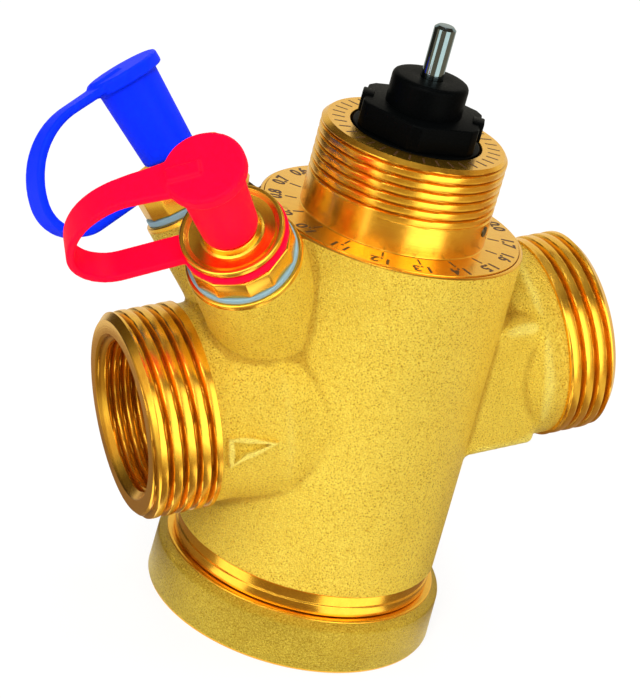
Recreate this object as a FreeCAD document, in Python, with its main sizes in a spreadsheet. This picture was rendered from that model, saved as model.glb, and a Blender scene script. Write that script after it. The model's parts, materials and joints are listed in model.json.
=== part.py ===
import FreeCAD, Part
import math
import os
import re

import Sketcher
from FreeCAD import Placement, Rotation, Vector

# A pressure independent control valve, in millimetres and degrees.
# The origin is the middle of the flat underside, +Z follows the stem and +X follows the flow.
# The pipe axis lies in the XZ plane and climbs towards the outlet.

DIMENSIONS = {
    # Clearances
    "fit_gap": (0.1, "radial play of a screwed or pushed-in piece"),
    "running_gap": (0.05, "radial play of a sliding or turning fit"),
    "free_gap": (0.3, "air between pieces that move past each other"),
    "seat_gap": (0.1, "air between a moving piece and the face it rests on"),
    # Bottom cap
    "cap_radius": (24.4, "bottom cap, outside radius at the foot"),
    "cap_draft": (0.35, "bottom cap, how much its wall leans in"),
    "cap_height": (9.0, "bottom cap, height"),
    "cap_shoulder": (1.4, "bottom cap, height of its rounded shoulder"),
    "cap_shoulder_width": (1.5, "bottom cap, width of its rounded shoulder"),
    "cap_knee_width": (0.35, "bottom cap, width of the shoulder's steep part"),
    "cap_knee_drop": (0.6, "bottom cap, height of the shoulder's flatter part"),
    "cap_foot_edge": (0.45, "bottom cap, turned edge at the foot"),
    "cap_wall": (3.6, "bottom cap, wall round the body's spigot"),
    "cap_floor": (2.6, "bottom cap, thickness of its floor"),
    "cap_ledge": (3.8, "bottom cap, height of the ledge under the diaphragm"),
    "ledge_width": (3.3, "bottom cap, width of that ledge"),
    "post_radius": (3.0, "bottom cap, guide post radius"),
    "post_top": (17.4, "bottom cap, height of the guide post"),
    "post_collar_radius": (4.6, "bottom cap, radius of the post's collar"),
    "post_edge": (0.4, "bottom cap, chamfer of the post"),
    # Body barrel
    "spigot_wall": (4.0, "body, wall of the screwed end inside the bottom cap"),
    "spigot_foot": (6.1, "body, height of the spigot's lower face"),
    "groove_foot": (6.9, "body, lower side of the O-ring groove"),
    "groove_width": (1.4, "width of both O-ring grooves"),
    "groove_depth": (1.2, "depth of both O-ring grooves"),
    "band_lip": (0.95, "body, how far the turned band stands out from the spigot"),
    "band_step": (0.25, "body, step in the turned band"),
    "band_height": (1.9, "body, height of each half of the turned band"),
    "barrel_foot_radius": (22.0, "body, barrel radius above the band"),
    "barrel_top_radius": (21.4, "body, barrel radius at the top"),
    "barrel_edge": (0.4, "body, edge rounding at the top and above the band"),
    "body_top": (69.6, "body, height of the lip round the scale flange"),
    "partition_foot": (34.0, "body, underside of the partition"),
    "partition_top": (39.0, "body, top of the partition"),
    "partition_hole": (11.4, "body, radius of the hole in the partition"),
    "upper_chamber_radius": (14.4, "body, radius of the upper chamber"),
    "upper_chamber_top": (58.0, "body, top of the upper chamber"),
    "bonnet_bore": (17.4, "body, radius of the bonnet's screwed bore"),
    "flange_seat": (68.4, "body, height of the seat under the scale flange"),
    # Pipe ends
    "pipe_height": (42.4, "height of the pipe axis at the stem axis"),
    "pipe_tilt": (14.5, "climb of the pipe axis, degrees"),
    "pipe_thread_radius": (16.62, "G1 thread, major radius"),
    "pipe_bore": (12.06, "pipe ends, bore radius"),
    "pipe_bore_edge": (1.2, "pipe ends, lead-in chamfer of the bore"),
    "pipe_thread_edge": (1.1, "pipe ends, chamfer of the thread"),
    "neck_root": (8.0, "where the necks start inside the barrel"),
    "inlet_face": (39.0, "inlet face from the stem axis"),
    "inlet_thread_start": (28.0, "inlet, where the thread ends on the neck"),
    "inlet_neck_radius": (16.0, "inlet, cast neck radius"),
    "inlet_flare_radius": (19.0, "inlet, neck radius where it joins the barrel"),
    "inlet_flare_start": (17.0, "inlet, where the flare leaves the barrel"),
    "inlet_flare_end": (24.5, "inlet, where the flare runs out"),
    "inlet_bore_end": (24.0, "inlet, end of the wide bore"),
    "inlet_port_radius": (10.5, "inlet, port radius behind the bore"),
    "inlet_port_end": (16.3, "inlet, end of the port"),
    "outlet_face": (40.4, "outlet face from the stem axis"),
    "outlet_thread_start": (31.6, "outlet, where the thread ends on the neck"),
    "outlet_neck_radius": (16.1, "outlet, cast neck radius"),
    "outlet_waist_radius": (13.2, "outlet, waist radius beside the barrel"),
    "outlet_waist_end": (24.5, "outlet, end of the waist"),
    "outlet_flare_end": (28.3, "outlet, end of the flare"),
    "outlet_bore_end": (27.0, "outlet, end of the wide bore"),
    "outlet_port_radius": (10.0, "outlet, port radius behind the bore"),
    "outlet_port_end": (12.0, "outlet, end of the port"),
    "block_half_width": (13.5, "outlet block, half its width"),
    "block_top": (10.3, "outlet block, top above the pipe axis"),
    "block_foot": (12.3, "outlet block, underside below the pipe axis"),
    "block_end": (27.6, "outlet block, end face from the stem axis"),
    "block_edge": (2.0, "outlet block, edge rounding"),
    # Bonnet
    "bonnet_foot": (59.0, "bonnet, lower face"),
    "bonnet_skirt_bore": (12.6, "bonnet, bore round the setting sleeve"),
    "bonnet_shoulder": (64.7, "bonnet, face above the dial's clip"),
    "flange_radius": (20.7, "bonnet, scale flange radius"),
    "flange_top": (69.8, "bonnet, height of the scale"),
    "neck_radius": (15.0, "bonnet, M30 x 1.5 thread, major radius"),
    "neck_top": (84.5, "bonnet, top of the neck"),
    "neck_edge": (0.7, "bonnet, chamfer at the top of the neck"),
    "neck_bore": (10.6, "bonnet, bore round the dial's base"),
    "neck_bore_foot": (79.7, "bonnet, floor under the dial's base"),
    "bonnet_groove_foot": (66.6, "bonnet, lower side of the O-ring groove"),
    "pin_radius": (0.9, "index pin, radius"),
    "pin_depth": (1.5, "index pin, how deep it sits in the neck"),
    "pin_height": (73.4, "index pin, height on the neck"),
    "pin_angle": (-48.2, "index pin, angle round the stem, degrees"),
    "pin_stand": (0.12, "index pin, how far it stands out"),
    # Setting dial and sleeve
    "dial_base_radius": (10.2, "dial, radius of its base"),
    "dial_base_top": (84.6, "dial, top of its base"),
    "dial_journal": (8.0, "dial, radius of the part that turns in the bonnet"),
    "dial_journal_foot": (62.4, "dial, lower end of the journal"),
    "dial_tail_radius": (5.5, "dial, radius of the tail inside the sleeve"),
    "dial_bore": (5.0, "dial, bore round the stem spring"),
    "dial_bore_top": (86.2, "dial, top of that bore"),
    "hex_flats": (18.4, "dial, across the flats of its hexagon"),
    "hex_corner_radius": (10.15, "dial, radius at the cut corners"),
    "hex_top": (88.8, "dial, top of the hexagon"),
    "hub_radius": (6.1, "dial, hub radius"),
    "hub_top": (93.7, "dial, top of the hub"),
    "hub_edge": (0.8, "dial, edge of the hub"),
    "clip_groove_radius": (7.2, "dial, floor of the clip groove"),
    "clip_foot": (63.2, "dial clip, lower face"),
    "clip_height": (1.2, "dial clip, thickness"),
    "clip_radius": (9.6, "dial clip, outside radius"),
    "sleeve_radius": (13.2, "setting sleeve, outside radius"),
    "sleeve_wall": (1.0, "setting sleeve, wall"),
    "sleeve_plate_foot": (56.4, "setting sleeve, underside of its plate"),
    "sleeve_plate_top": (58.4, "setting sleeve, top of its plate"),
    "sleeve_hub_radius": (8.0, "setting sleeve, radius of its hub"),
    "window_height": (9.0, "setting sleeve, height of its window"),
    "window_width": (14.0, "setting sleeve, width of its window"),
    # Stem, its spring and its seal
    "stem_radius": (1.75, "stem, radius"),
    "stem_top": (102.2, "stem, top"),
    "stem_edge": (0.45, "stem, chamfer of its tip"),
    "stem_travel": (4.5, "stem, stroke of the actuator"),
    "collar_radius": (4.4, "stem collar, outside radius"),
    "collar_foot": (80.0, "stem collar, lower face"),
    "collar_height": (1.5, "stem collar, thickness"),
    "retainer_height": (1.2, "seal retainer, thickness"),
    "stem_spring_radius": (3.4, "stem spring, mean radius"),
    "stem_spring_wire": (0.55, "stem spring, wire radius"),
    "stem_spring_turns": (7.0, "stem spring, turns"),
    # Closing plug and seat
    "plug_radius": (9.4, "closing plug, radius"),
    "plug_thickness": (2.4, "closing plug, thickness of its disc"),
    "plug_cone": (1.6, "closing plug, height of its cone"),
    "plug_hub_radius": (4.0, "closing plug, hub radius"),
    "plug_hub_height": (7.8, "closing plug, height of disc and hub"),
    "plug_floor": (3.0, "closing plug, thickness under the stem"),
    "seat_flange_radius": (13.6, "seat ring, flange radius"),
    "seat_flange": (1.4, "seat ring, flange thickness"),
    "seat_bore": (7.2, "seat ring, bore radius"),
    "seat_lip_radius": (8.6, "seat ring, outside radius of the lip"),
    "seat_lip": (1.0, "seat ring, height of the lip"),
    # Regulator
    "cup_radius": (12.2, "regulator cup, outside radius"),
    "cup_wall": (1.2, "regulator cup, wall"),
    "cup_flange_radius": (13.6, "regulator cup, flange radius"),
    "cup_floor_foot": (8.7, "regulator cup, underside of its floor"),
    "cup_floor": (1.5, "regulator cup, thickness of its floor"),
    "cup_top": (24.0, "regulator cup, rim"),
    "cup_hub_radius": (5.0, "regulator cup, hub radius"),
    "cup_hub_foot": (6.0, "regulator cup, lower face of the hub"),
    "cup_hub_bore_top": (19.0, "regulator cup, end of the hub's bore"),
    "cup_hub_top": (20.4, "regulator cup, top of the hub"),
    "reg_spring_radius": (8.6, "regulator spring, mean radius"),
    "reg_spring_wire": (0.9, "regulator spring, wire radius"),
    "reg_spring_turns": (5.0, "regulator spring, turns"),
    "diaphragm_wall": (0.8, "diaphragm, thickness"),
    "diaphragm_roll": (2.4, "diaphragm, how far its wall leans in"),
    # Test points
    "test_azimuth": (148.44, "test points, azimuth of their axes from +X, degrees"),
    "test_climb": (46.61, "test points, climb of their axes, degrees"),
    "test_offset": (7.55, "test points, how far their axes cross to the other side"),
    "test_height": (30.11, "test points, height of their axes above the origin"),
    "boss_root": (18.0, "test boss, where it starts inside the barrel"),
    "boss_root_radius": (10.6, "test boss, radius at its root"),
    "boss_radius": (9.0, "test boss, radius at its top"),
    "boss_flare_end": (38.0, "test boss, end of its flare"),
    "boss_top": (49.7, "test boss, sealing face"),
    "boss_edge": (0.6, "test boss, edge of the sealing face"),
    "boss_hole": (6.6, "test boss, radius of its screwed hole"),
    "boss_hole_depth": (10.7, "test boss, depth of that hole"),
    "tap_radius": (1.5, "pressure channels, radius"),
    "red_tap_end": (22.0, "red test point, where its channel meets the upper chamber"),
    "blue_tap_length": (15.0, "blue test point, length of its channel to the inlet port"),
    "washer_radius": (8.52, "plug washer, outside radius"),
    "washer_height": (1.0, "plug washer, thickness"),
    "shank_length": (9.7, "test plug, length of its shank"),
    "plug_hex_flats": (16.2, "test plug, across the flats of its hexagon"),
    "plug_hex_corner": (8.45, "test plug, radius at the hexagon's cut corners"),
    "plug_hex_chamfer": (0.4, "test plug, height of the hexagon's chamfer"),
    "plug_hex_height": (3.7, "test plug, height of its hexagon"),
    "ring_groove_radius": (6.25, "test plug, groove under the dish"),
    "ring_groove_width": (1.8, "test plug, width of that groove"),
    "dish_radius": (8.0, "test plug, radius of its dish"),
    "dish_rise": (7.53, "test plug, rim of its dish above the sealing face"),
    "dish_depth": (0.6, "test plug, depth of its dish"),
    "dish_rim_width": (0.7, "test plug, width of the dish's rim"),
    "nipple_radius": (2.6, "test plug, nipple radius"),
    "nipple_rise": (17.3, "test plug, end of its nipple above the sealing face"),
    "nipple_edge": (0.5, "test plug, chamfer of its nipple"),
    "core_radius": (1.8, "rubber core, radius"),
    "core_foot": (5.3, "rubber core, inner end above the sealing face"),
    "core_head": (14.3, "rubber core, outer end above the sealing face"),
    # Caps with strap and ring
    "cover_rise": (8.2, "cap, open end above the sealing face"),
    "cover_foot_radius": (4.35, "cap, radius at its open end"),
    "cover_neck_radius": (4.95, "cap, radius under its disc"),
    "cover_bore": (2.9, "cap, bore radius"),
    "cover_bore_depth": (9.7, "cap, depth of its bore"),
    "cover_disc_radius": (6.13, "cap, radius of its disc"),
    "cover_neck_height": (13.4, "cap, height of its tapered neck"),
    "cover_disc_height": (2.04, "cap, thickness of its disc"),
    "cover_edge": (0.35, "cap, edge of its disc"),
    "cover_foot_edge": (0.7, "cap, edge of its open end"),
    "strap_width": (5.0, "strap, width"),
    "strap_wall": (1.3, "strap, thickness"),
    "strap_start": (4.4, "strap, where it starts in the disc"),
    "strap_run": (11.0, "strap, where its wide bend starts"),
    "strap_wide_bend": (12.6, "strap, radius of its wide bend"),
    "strap_tight_bend": (6.0, "strap, radius of its tight bend"),
    "strap_end": (7.2, "strap, where it ends in the ring"),
    "ring_radius": (8.3, "strap ring, outside radius"),
    "strap_swing": (44.6, "how far the straps hang to the side, degrees"),
}

doc = FreeCAD.newDocument("control_valve")
sheet = doc.addObject("Spreadsheet::Sheet", "dims")
for row, (alias, (value, meaning)) in enumerate(DIMENSIONS.items(), start=1):
    sheet.set(f"A{row}", str(value))
    sheet.setAlias(f"A{row}", alias)
    sheet.set(f"B{row}", meaning)
doc.recompute()

# Sizes and places that follow from others.
SPIGOT_RADIUS = "(cap_radius - cap_wall)"
LEDGE_RADIUS = f"({SPIGOT_RADIUS} - ledge_width)"
BAND_RADIUS = f"({SPIGOT_RADIUS} + band_lip)"
CHAMBER_RADIUS = f"({SPIGOT_RADIUS} - spigot_wall)"
BOSS_HOLE_END = "(boss_top - boss_hole_depth)"
SHANK_START = "(boss_top - shank_length)"
DISH_RIM = "(boss_top + dish_rise)"
NIPPLE_TOP = "(boss_top + nipple_rise)"
CORE_START = "(boss_top + core_foot)"
CORE_END = "(boss_top + core_head)"
COVER_FOOT = "(boss_top + cover_rise)"
COVER_BORE_END = f"({COVER_FOOT} + cover_bore_depth)"
COVER_DISC_FOOT = f"({COVER_FOOT} + cover_neck_height)"
COVER_TOP = f"({COVER_DISC_FOOT} + cover_disc_height)"

# The document object of each sub-part, in the order they are made.
sub_parts = []


def bound(expression):
    """Name the sheet in front of each alias of an expression."""
    def with_sheet(word):
        """Alias with the sheet's name, or another word as it is."""
        return f"dims.{word[0]}" if word[0] in DIMENSIONS else word[0]

    return re.sub(r"[a-z]\w*", with_sheet, expression)


def size(expression):
    """Value of an expression in the sheet's aliases."""
    return float(sheet.evalExpression(bound(expression)))


def sub_part(label, item):
    """Register a document object as the sub-part with this name."""
    item.Label = label
    sub_parts.append(item)
    return item


def new_body(name, placement=Placement()):
    """Empty PartDesign body at a placement."""
    body = doc.addObject("PartDesign::Body", name)
    body.Placement = placement
    return body


def attach(feature, body, role):
    """Seat a sketch or a primitive on one of the body's own origin planes."""
    plane = next(item for item in body.Origin.OriginFeatures if item.Role == role)
    feature.AttachmentSupport = [(plane, "")]
    feature.MapMode = "FlatFace"


def new_sketch(body, role):
    """Sketch on one of the body's own origin planes."""
    sketch = body.newObject("Sketcher::SketchObject", f"{body.Name}_sketch")
    attach(sketch, body, role)
    return sketch


def hold(sketch, kind, expression, *places):
    """Add a dimension to a sketch and bind it to an expression."""
    index = sketch.addConstraint(Sketcher.Constraint(kind, *places, size(expression)))
    sketch.setExpression(f"Constraints[{index}]", bound(expression))


def hold_point(sketch, edge, end, across, along):
    """Fix one end of a sketch edge at two expressions from the sketch origin."""
    for axis, kind, expression in ((-2, "DistanceX", across), (-1, "DistanceY", along)):
        if expression == "0":
            sketch.addConstraint(Sketcher.Constraint("PointOnObject", edge, end, axis))
        else:
            hold(sketch, kind, expression, -1, 1, edge, end)


def outline(body, points, role="XZ_Plane"):
    """Closed straight-sided sketch through points given as expression pairs."""
    sketch = new_sketch(body, role)
    corners = [Vector(size(across), size(along), 0) for across, along in points]
    count = len(corners)
    for index, corner in enumerate(corners):
        sketch.addGeometry(Part.LineSegment(corner, corners[(index + 1) % count]), False)
    for index in range(count):
        sketch.addConstraint(Sketcher.Constraint("Coincident", index, 2, (index + 1) % count, 1))
    for index, (across, along) in enumerate(points):
        hold_point(sketch, index, 1, across, along)
    return sketch


def revolve(body, points, kind="Revolution"):
    """Turn an outline of (radius, height) pairs about the body's Z axis."""
    sketch = outline(body, points)
    feature = body.newObject(f"PartDesign::{kind}", f"{body.Name}_{kind.lower()}")
    feature.Profile = sketch
    feature.ReferenceAxis = (sketch, ["V_Axis"])
    feature.Angle = 360
    doc.recompute()
    return feature


def turned(name, points, placement=Placement()):
    """Body turned from one outline."""
    body = new_body(name, placement)
    revolve(body, points)
    return body


def ring_points(inner, outer, foot, top):
    """Outline of a plain ring."""
    return [(inner, foot), (outer, foot), (outer, top), (inner, top)]


def prism(body, circumradius, foot, height):
    """Add a hexagonal prism to a body."""
    feature = body.newObject("PartDesign::AdditivePrism", f"{body.Name}_hexagon")
    attach(feature, body, "XY_Plane")
    feature.Polygon = 6
    feature.setExpression("Circumradius", bound(circumradius))
    feature.setExpression("Height", bound(height))
    feature.setExpression("AttachmentOffset.Base.z", bound(foot))
    doc.recompute()
    return feature


def o_ring(name, mean_radius, section, height):
    """O-ring about the Z axis."""
    ring = doc.addObject("Part::Torus", name)
    ring.setExpression("Radius1", bound(mean_radius))
    ring.setExpression("Radius2", bound(section))
    ring.setExpression("Placement.Base.z", bound(height))
    return ring


def coil(name, radius, wire, turns, foot, top):
    """Helical spring about the Z axis, between two faces."""
    height = f"{top} - ({foot}) - 2 * {wire}"
    helix = doc.addObject("Part::Helix", f"{name}_path")
    helix.setExpression("Radius", bound(radius))
    helix.setExpression("Height", bound(height))
    helix.setExpression("Pitch", bound(f"({height}) / {turns}"))
    helix.setExpression("Placement.Base.z", bound(f"{foot} + {wire}"))
    section = doc.addObject("Part::Circle", f"{name}_section")
    section.setExpression("Radius", bound(wire))
    section.setExpression("Placement.Base.x", bound(radius))
    section.setExpression("Placement.Base.z", bound(f"{foot} + {wire}"))
    section.Placement.Rotation = Rotation(Vector(1, 0, 0), 90)
    doc.recompute()
    spring = doc.addObject("Part::Sweep", name)
    spring.Sections = [section]
    spring.Spine = (helix, [f"Edge{index + 1}" for index in range(len(helix.Shape.Edges))])
    spring.Solid = True
    spring.Frenet = True
    return spring


def fused(name, items):
    """Union of document objects."""
    union = doc.addObject("Part::MultiFuse", name)
    union.Shapes = items
    return union


def cut(name, base, tool):
    """Difference of two document objects."""
    difference = doc.addObject("Part::Cut", name)
    difference.Base = base
    difference.Tool = tool
    return difference


def pipe_place(towards_outlet):
    """Placement whose Z axis follows the pipe axis to one end."""
    turn = 90 - size("pipe_tilt")
    angle = turn if towards_outlet else turn - 180
    return Placement(Vector(0, 0, size("pipe_height")), Rotation(Vector(0, 1, 0), angle))


def test_place(side, swing="0"):
    """Placement whose Z axis is a test point's axis and whose X axis hangs down, swung by an angle.

    side is -1 for the red test point in front and 1 for the blue one behind.
    """
    azimuth = math.radians(size("test_azimuth")) * side
    climb = math.radians(size("test_climb"))
    reach = math.cos(climb)
    outward = Vector(math.cos(azimuth) * reach, math.sin(azimuth) * reach, math.sin(climb))
    origin = Vector(0, -side * size("test_offset"), size("test_height"))
    level = Rotation(Vector(0, 0, -1), Vector(), outward, "ZXY")
    return Placement(origin, level * Rotation(Vector(0, 0, 1), side * size(swing)))


def make_valve_body():
    """One brass casting with its machined ends, bores and channels."""
    groove = SPIGOT_RADIUS + " - groove_depth"
    band_mid = "cap_height + band_height"
    band_top = "cap_height + 2 * band_height"
    barrel = turned("barrel", [
        ("0", "spigot_foot"),
        (SPIGOT_RADIUS, "spigot_foot"),
        (SPIGOT_RADIUS, "groove_foot"),
        (groove, "groove_foot"),
        (groove, "groove_foot + groove_width"),
        (SPIGOT_RADIUS, "groove_foot + groove_width"),
        (SPIGOT_RADIUS, "cap_height"),
        (BAND_RADIUS, "cap_height"),
        (BAND_RADIUS, band_mid),
        (BAND_RADIUS + " - band_step", band_mid),
        (BAND_RADIUS + " - band_step", band_top),
        ("barrel_foot_radius", band_top + " + barrel_edge"),
        ("barrel_top_radius", "body_top - barrel_edge"),
        ("barrel_top_radius - barrel_edge", "body_top"),
        ("0", "body_top"),
    ])
    inlet = turned("inlet_neck", [
        ("0", "neck_root"),
        ("inlet_flare_radius", "neck_root"),
        ("inlet_flare_radius", "inlet_flare_start"),
        ("inlet_neck_radius", "inlet_flare_end"),
        ("inlet_neck_radius", "inlet_thread_start"),
        ("pipe_thread_radius", "inlet_thread_start"),
        ("pipe_thread_radius", "inlet_face - pipe_thread_edge"),
        ("pipe_thread_radius - pipe_thread_edge", "inlet_face"),
        ("0", "inlet_face"),
    ], pipe_place(False))
    outlet = turned("outlet_neck", [
        ("0", "neck_root"),
        ("outlet_waist_radius", "neck_root"),
        ("outlet_waist_radius", "outlet_waist_end"),
        ("outlet_neck_radius", "outlet_flare_end"),
        ("outlet_neck_radius", "outlet_thread_start"),
        ("pipe_thread_radius", "outlet_thread_start"),
        ("pipe_thread_radius", "outlet_face - pipe_thread_edge"),
        ("pipe_thread_radius - pipe_thread_edge", "outlet_face"),
        ("0", "outlet_face"),
    ], pipe_place(True))
    block_body = new_body("outlet_block", pipe_place(True))
    block_sketch = outline(block_body, [
        ("-block_top", "-block_half_width"),
        ("block_foot", "-block_half_width"),
        ("block_foot", "block_half_width"),
        ("-block_top", "block_half_width"),
    ], "XY_Plane")
    block_pad = block_body.newObject("PartDesign::Pad", "block_pad")
    block_pad.Profile = block_sketch
    block_pad.setExpression("Length", bound("block_end"))
    doc.recompute()
    rounding = block_body.newObject("PartDesign::Fillet", "block_rounding")
    long_edges = [
        f"Edge{number}" for number, edge in enumerate(block_pad.Shape.Edges, start=1)
        if abs(edge.tangentAt(edge.FirstParameter).z) > 0.9
    ]
    rounding.Base = (block_pad, long_edges)
    rounding.setExpression("Radius", bound("block_edge"))
    doc.recompute()
    bosses = [
        turned(f"{colour}_boss", [
            ("0", "boss_root"),
            ("boss_root_radius", "boss_root"),
            ("boss_radius", "boss_flare_end"),
            ("boss_radius", "boss_top - boss_edge"),
            ("boss_radius - boss_edge", "boss_top"),
            ("0", "boss_top"),
        ], test_place(side))
        for colour, side in (("red", -1), ("blue", 1))
    ]
    cavity = turned("barrel_cavity", [
        ("0", "spigot_foot - free_gap"),
        (CHAMBER_RADIUS, "spigot_foot - free_gap"),
        (CHAMBER_RADIUS, "partition_foot"),
        ("partition_hole", "partition_foot"),
        ("partition_hole", "partition_top"),
        ("upper_chamber_radius", "partition_top"),
        ("upper_chamber_radius", "upper_chamber_top"),
        ("bonnet_bore", "upper_chamber_top"),
        ("bonnet_bore", "flange_seat"),
        ("flange_radius + fit_gap", "flange_seat"),
        ("flange_radius + fit_gap", "body_top + free_gap"),
        ("0", "body_top + free_gap"),
    ])
    ports = [
        turned(f"{end}_port", [
            ("0", f"{end}_port_end"),
            (f"{end}_port_radius", f"{end}_port_end"),
            (f"{end}_port_radius", f"{end}_bore_end"),
            ("pipe_bore", f"{end}_bore_end"),
            ("pipe_bore", f"{end}_face - pipe_bore_edge"),
            ("pipe_bore + pipe_bore_edge", f"{end}_face"),
            ("pipe_bore + pipe_bore_edge", f"{end}_face + free_gap"),
            ("0", f"{end}_face + free_gap"),
        ], pipe_place(end == "outlet"))
        for end in ("inlet", "outlet")
    ]
    holes = [
        turned(f"{colour}_boss_hole", [
            ("0", BOSS_HOLE_END),
            ("boss_hole", BOSS_HOLE_END),
            ("boss_hole", "boss_top + free_gap"),
            ("0", "boss_top + free_gap"),
        ], test_place(side))
        for colour, side in (("red", -1), ("blue", 1))
    ]
    red_tap = turned("red_tap", [
        ("0", "red_tap_end"),
        ("tap_radius", "red_tap_end"),
        ("tap_radius", BOSS_HOLE_END + " + free_gap"),
        ("0", BOSS_HOLE_END + " + free_gap"),
    ], test_place(-1))
    hole_floor = test_place(1).multVec(Vector(0, 0, size(BOSS_HOLE_END)))
    blue_tap = doc.addObject("Part::Cylinder", "blue_tap")
    blue_tap.setExpression("Radius", bound("tap_radius"))
    blue_tap.setExpression("Height", bound("blue_tap_length"))
    blue_tap.Placement = Placement(hole_floor, Rotation(Vector(0, 1, 0), 180 - size("pipe_tilt")))
    casting = fused("casting", [barrel, inlet, outlet, block_body, *bosses])
    drilling = fused("drilling", [cavity, *ports, *holes, red_tap, blue_tap])
    return sub_part("valve_body", cut("valve_body", casting, drilling))


def make_bottom_cap():
    """Cap that closes the regulator chamber, with the post that guides the regulator cup."""
    sub_part("bottom_cap", turned("bottom_cap", [
        ("0", "0"),
        ("cap_radius - cap_foot_edge", "0"),
        ("cap_radius", "cap_foot_edge"),
        ("cap_radius - cap_draft", "cap_height - cap_shoulder"),
        ("cap_radius - cap_draft - cap_knee_width", "cap_height - cap_knee_drop"),
        ("cap_radius - cap_draft - cap_shoulder_width", "cap_height"),
        (SPIGOT_RADIUS + " + fit_gap", "cap_height"),
        (SPIGOT_RADIUS + " + fit_gap", "cap_ledge"),
        (LEDGE_RADIUS, "cap_ledge"),
        (LEDGE_RADIUS, "cap_floor"),
        ("post_collar_radius", "cap_floor"),
        ("post_collar_radius", "cup_hub_foot - seat_gap"),
        ("post_radius", "cup_hub_foot - seat_gap"),
        ("post_radius", "post_top - post_edge"),
        ("post_radius - post_edge", "post_top"),
        ("0", "post_top"),
    ]))
    sub_part("cap_seal", o_ring(
        "cap_seal",
        SPIGOT_RADIUS + " - groove_depth / 2",
        "groove_depth / 2",
        "groove_foot + groove_width / 2",
    ))


def make_regulator():
    """Spring-loaded cup, diaphragm and clamping ring in the lower chamber."""
    rim_top = "cap_ledge + diaphragm_wall"
    roll_top = "cup_floor_foot - seat_gap"
    shoulder = LEDGE_RADIUS + " - diaphragm_roll"
    floor_top = "cup_floor_foot + cup_floor"
    sub_part("regulator_cup", turned("regulator_cup", [
        ("post_radius + running_gap", "cup_hub_foot"),
        ("cup_hub_radius", "cup_hub_foot"),
        ("cup_hub_radius", "cup_floor_foot"),
        ("cup_flange_radius", "cup_floor_foot"),
        ("cup_flange_radius", floor_top),
        ("cup_radius", floor_top),
        ("cup_radius", "cup_top"),
        ("cup_radius - cup_wall", "cup_top"),
        ("cup_radius - cup_wall", floor_top),
        ("cup_hub_radius", floor_top),
        ("cup_hub_radius", "cup_hub_top"),
        ("0", "cup_hub_top"),
        ("0", "cup_hub_bore_top"),
        ("post_radius + running_gap", "cup_hub_bore_top"),
    ]))
    sub_part("regulator_spring", coil(
        "regulator_spring", "reg_spring_radius", "reg_spring_wire", "reg_spring_turns",
        "cup_floor_foot + cup_floor + seat_gap", "partition_foot - seat_gap",
    ))
    sub_part("diaphragm", turned("diaphragm", [
        (LEDGE_RADIUS, "cap_ledge"),
        (SPIGOT_RADIUS, "cap_ledge"),
        (SPIGOT_RADIUS, rim_top),
        (LEDGE_RADIUS, rim_top),
        (shoulder, roll_top),
        (shoulder + " - 2 * diaphragm_wall", roll_top),
        (shoulder + " - 2 * diaphragm_wall", roll_top + " - diaphragm_wall"),
        (shoulder + " - diaphragm_wall", roll_top + " - diaphragm_wall"),
    ]))
    sub_part("diaphragm_ring", turned("diaphragm_ring", ring_points(
        LEDGE_RADIUS + " + free_gap", SPIGOT_RADIUS, rim_top, "spigot_foot",
    )))


def make_bonnet():
    """Turned neck with the actuator thread and the scale flange, its seal and its index pin."""
    groove = "bonnet_bore - fit_gap - groove_depth"
    neck = turned("bonnet_blank", [
        ("bonnet_skirt_bore", "bonnet_foot"),
        ("bonnet_bore - fit_gap", "bonnet_foot"),
        ("bonnet_bore - fit_gap", "bonnet_groove_foot"),
        (groove, "bonnet_groove_foot"),
        (groove, "bonnet_groove_foot + groove_width"),
        ("bonnet_bore - fit_gap", "bonnet_groove_foot + groove_width"),
        ("bonnet_bore - fit_gap", "flange_seat"),
        ("flange_radius", "flange_seat"),
        ("flange_radius", "flange_top"),
        ("neck_radius", "flange_top"),
        ("neck_radius", "neck_top - neck_edge"),
        ("neck_radius - neck_edge", "neck_top"),
        ("neck_bore", "neck_top"),
        ("neck_bore", "neck_bore_foot"),
        ("dial_journal + running_gap", "neck_bore_foot"),
        ("dial_journal + running_gap", "bonnet_shoulder"),
        ("bonnet_skirt_bore", "bonnet_shoulder"),
    ])
    hole = index_cylinder("index_hole", "pin_radius", "pin_depth + free_gap")
    sub_part("bonnet", cut("bonnet", neck, hole))
    sub_part("index_pin", index_cylinder("index_pin", "pin_radius - running_gap", "pin_depth + pin_stand"))
    sub_part("bonnet_seal", o_ring(
        "bonnet_seal",
        "bonnet_bore - fit_gap - groove_depth / 2",
        "groove_depth / 2",
        "bonnet_groove_foot + groove_width / 2",
    ))


def index_cylinder(name, radius, length):
    """Radial cylinder low on the neck, at the index pin's place."""
    spin = Rotation(Vector(0, 0, 1), size("pin_angle"))
    foot = spin.multVec(Vector(size("neck_radius - pin_depth"), 0, size("pin_height")))
    cylinder = doc.addObject("Part::Cylinder", name)
    cylinder.setExpression("Radius", bound(radius))
    cylinder.setExpression("Height", bound(length))
    cylinder.Placement = Placement(foot, spin * Rotation(Vector(0, 1, 0), 90))
    return cylinder


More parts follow.
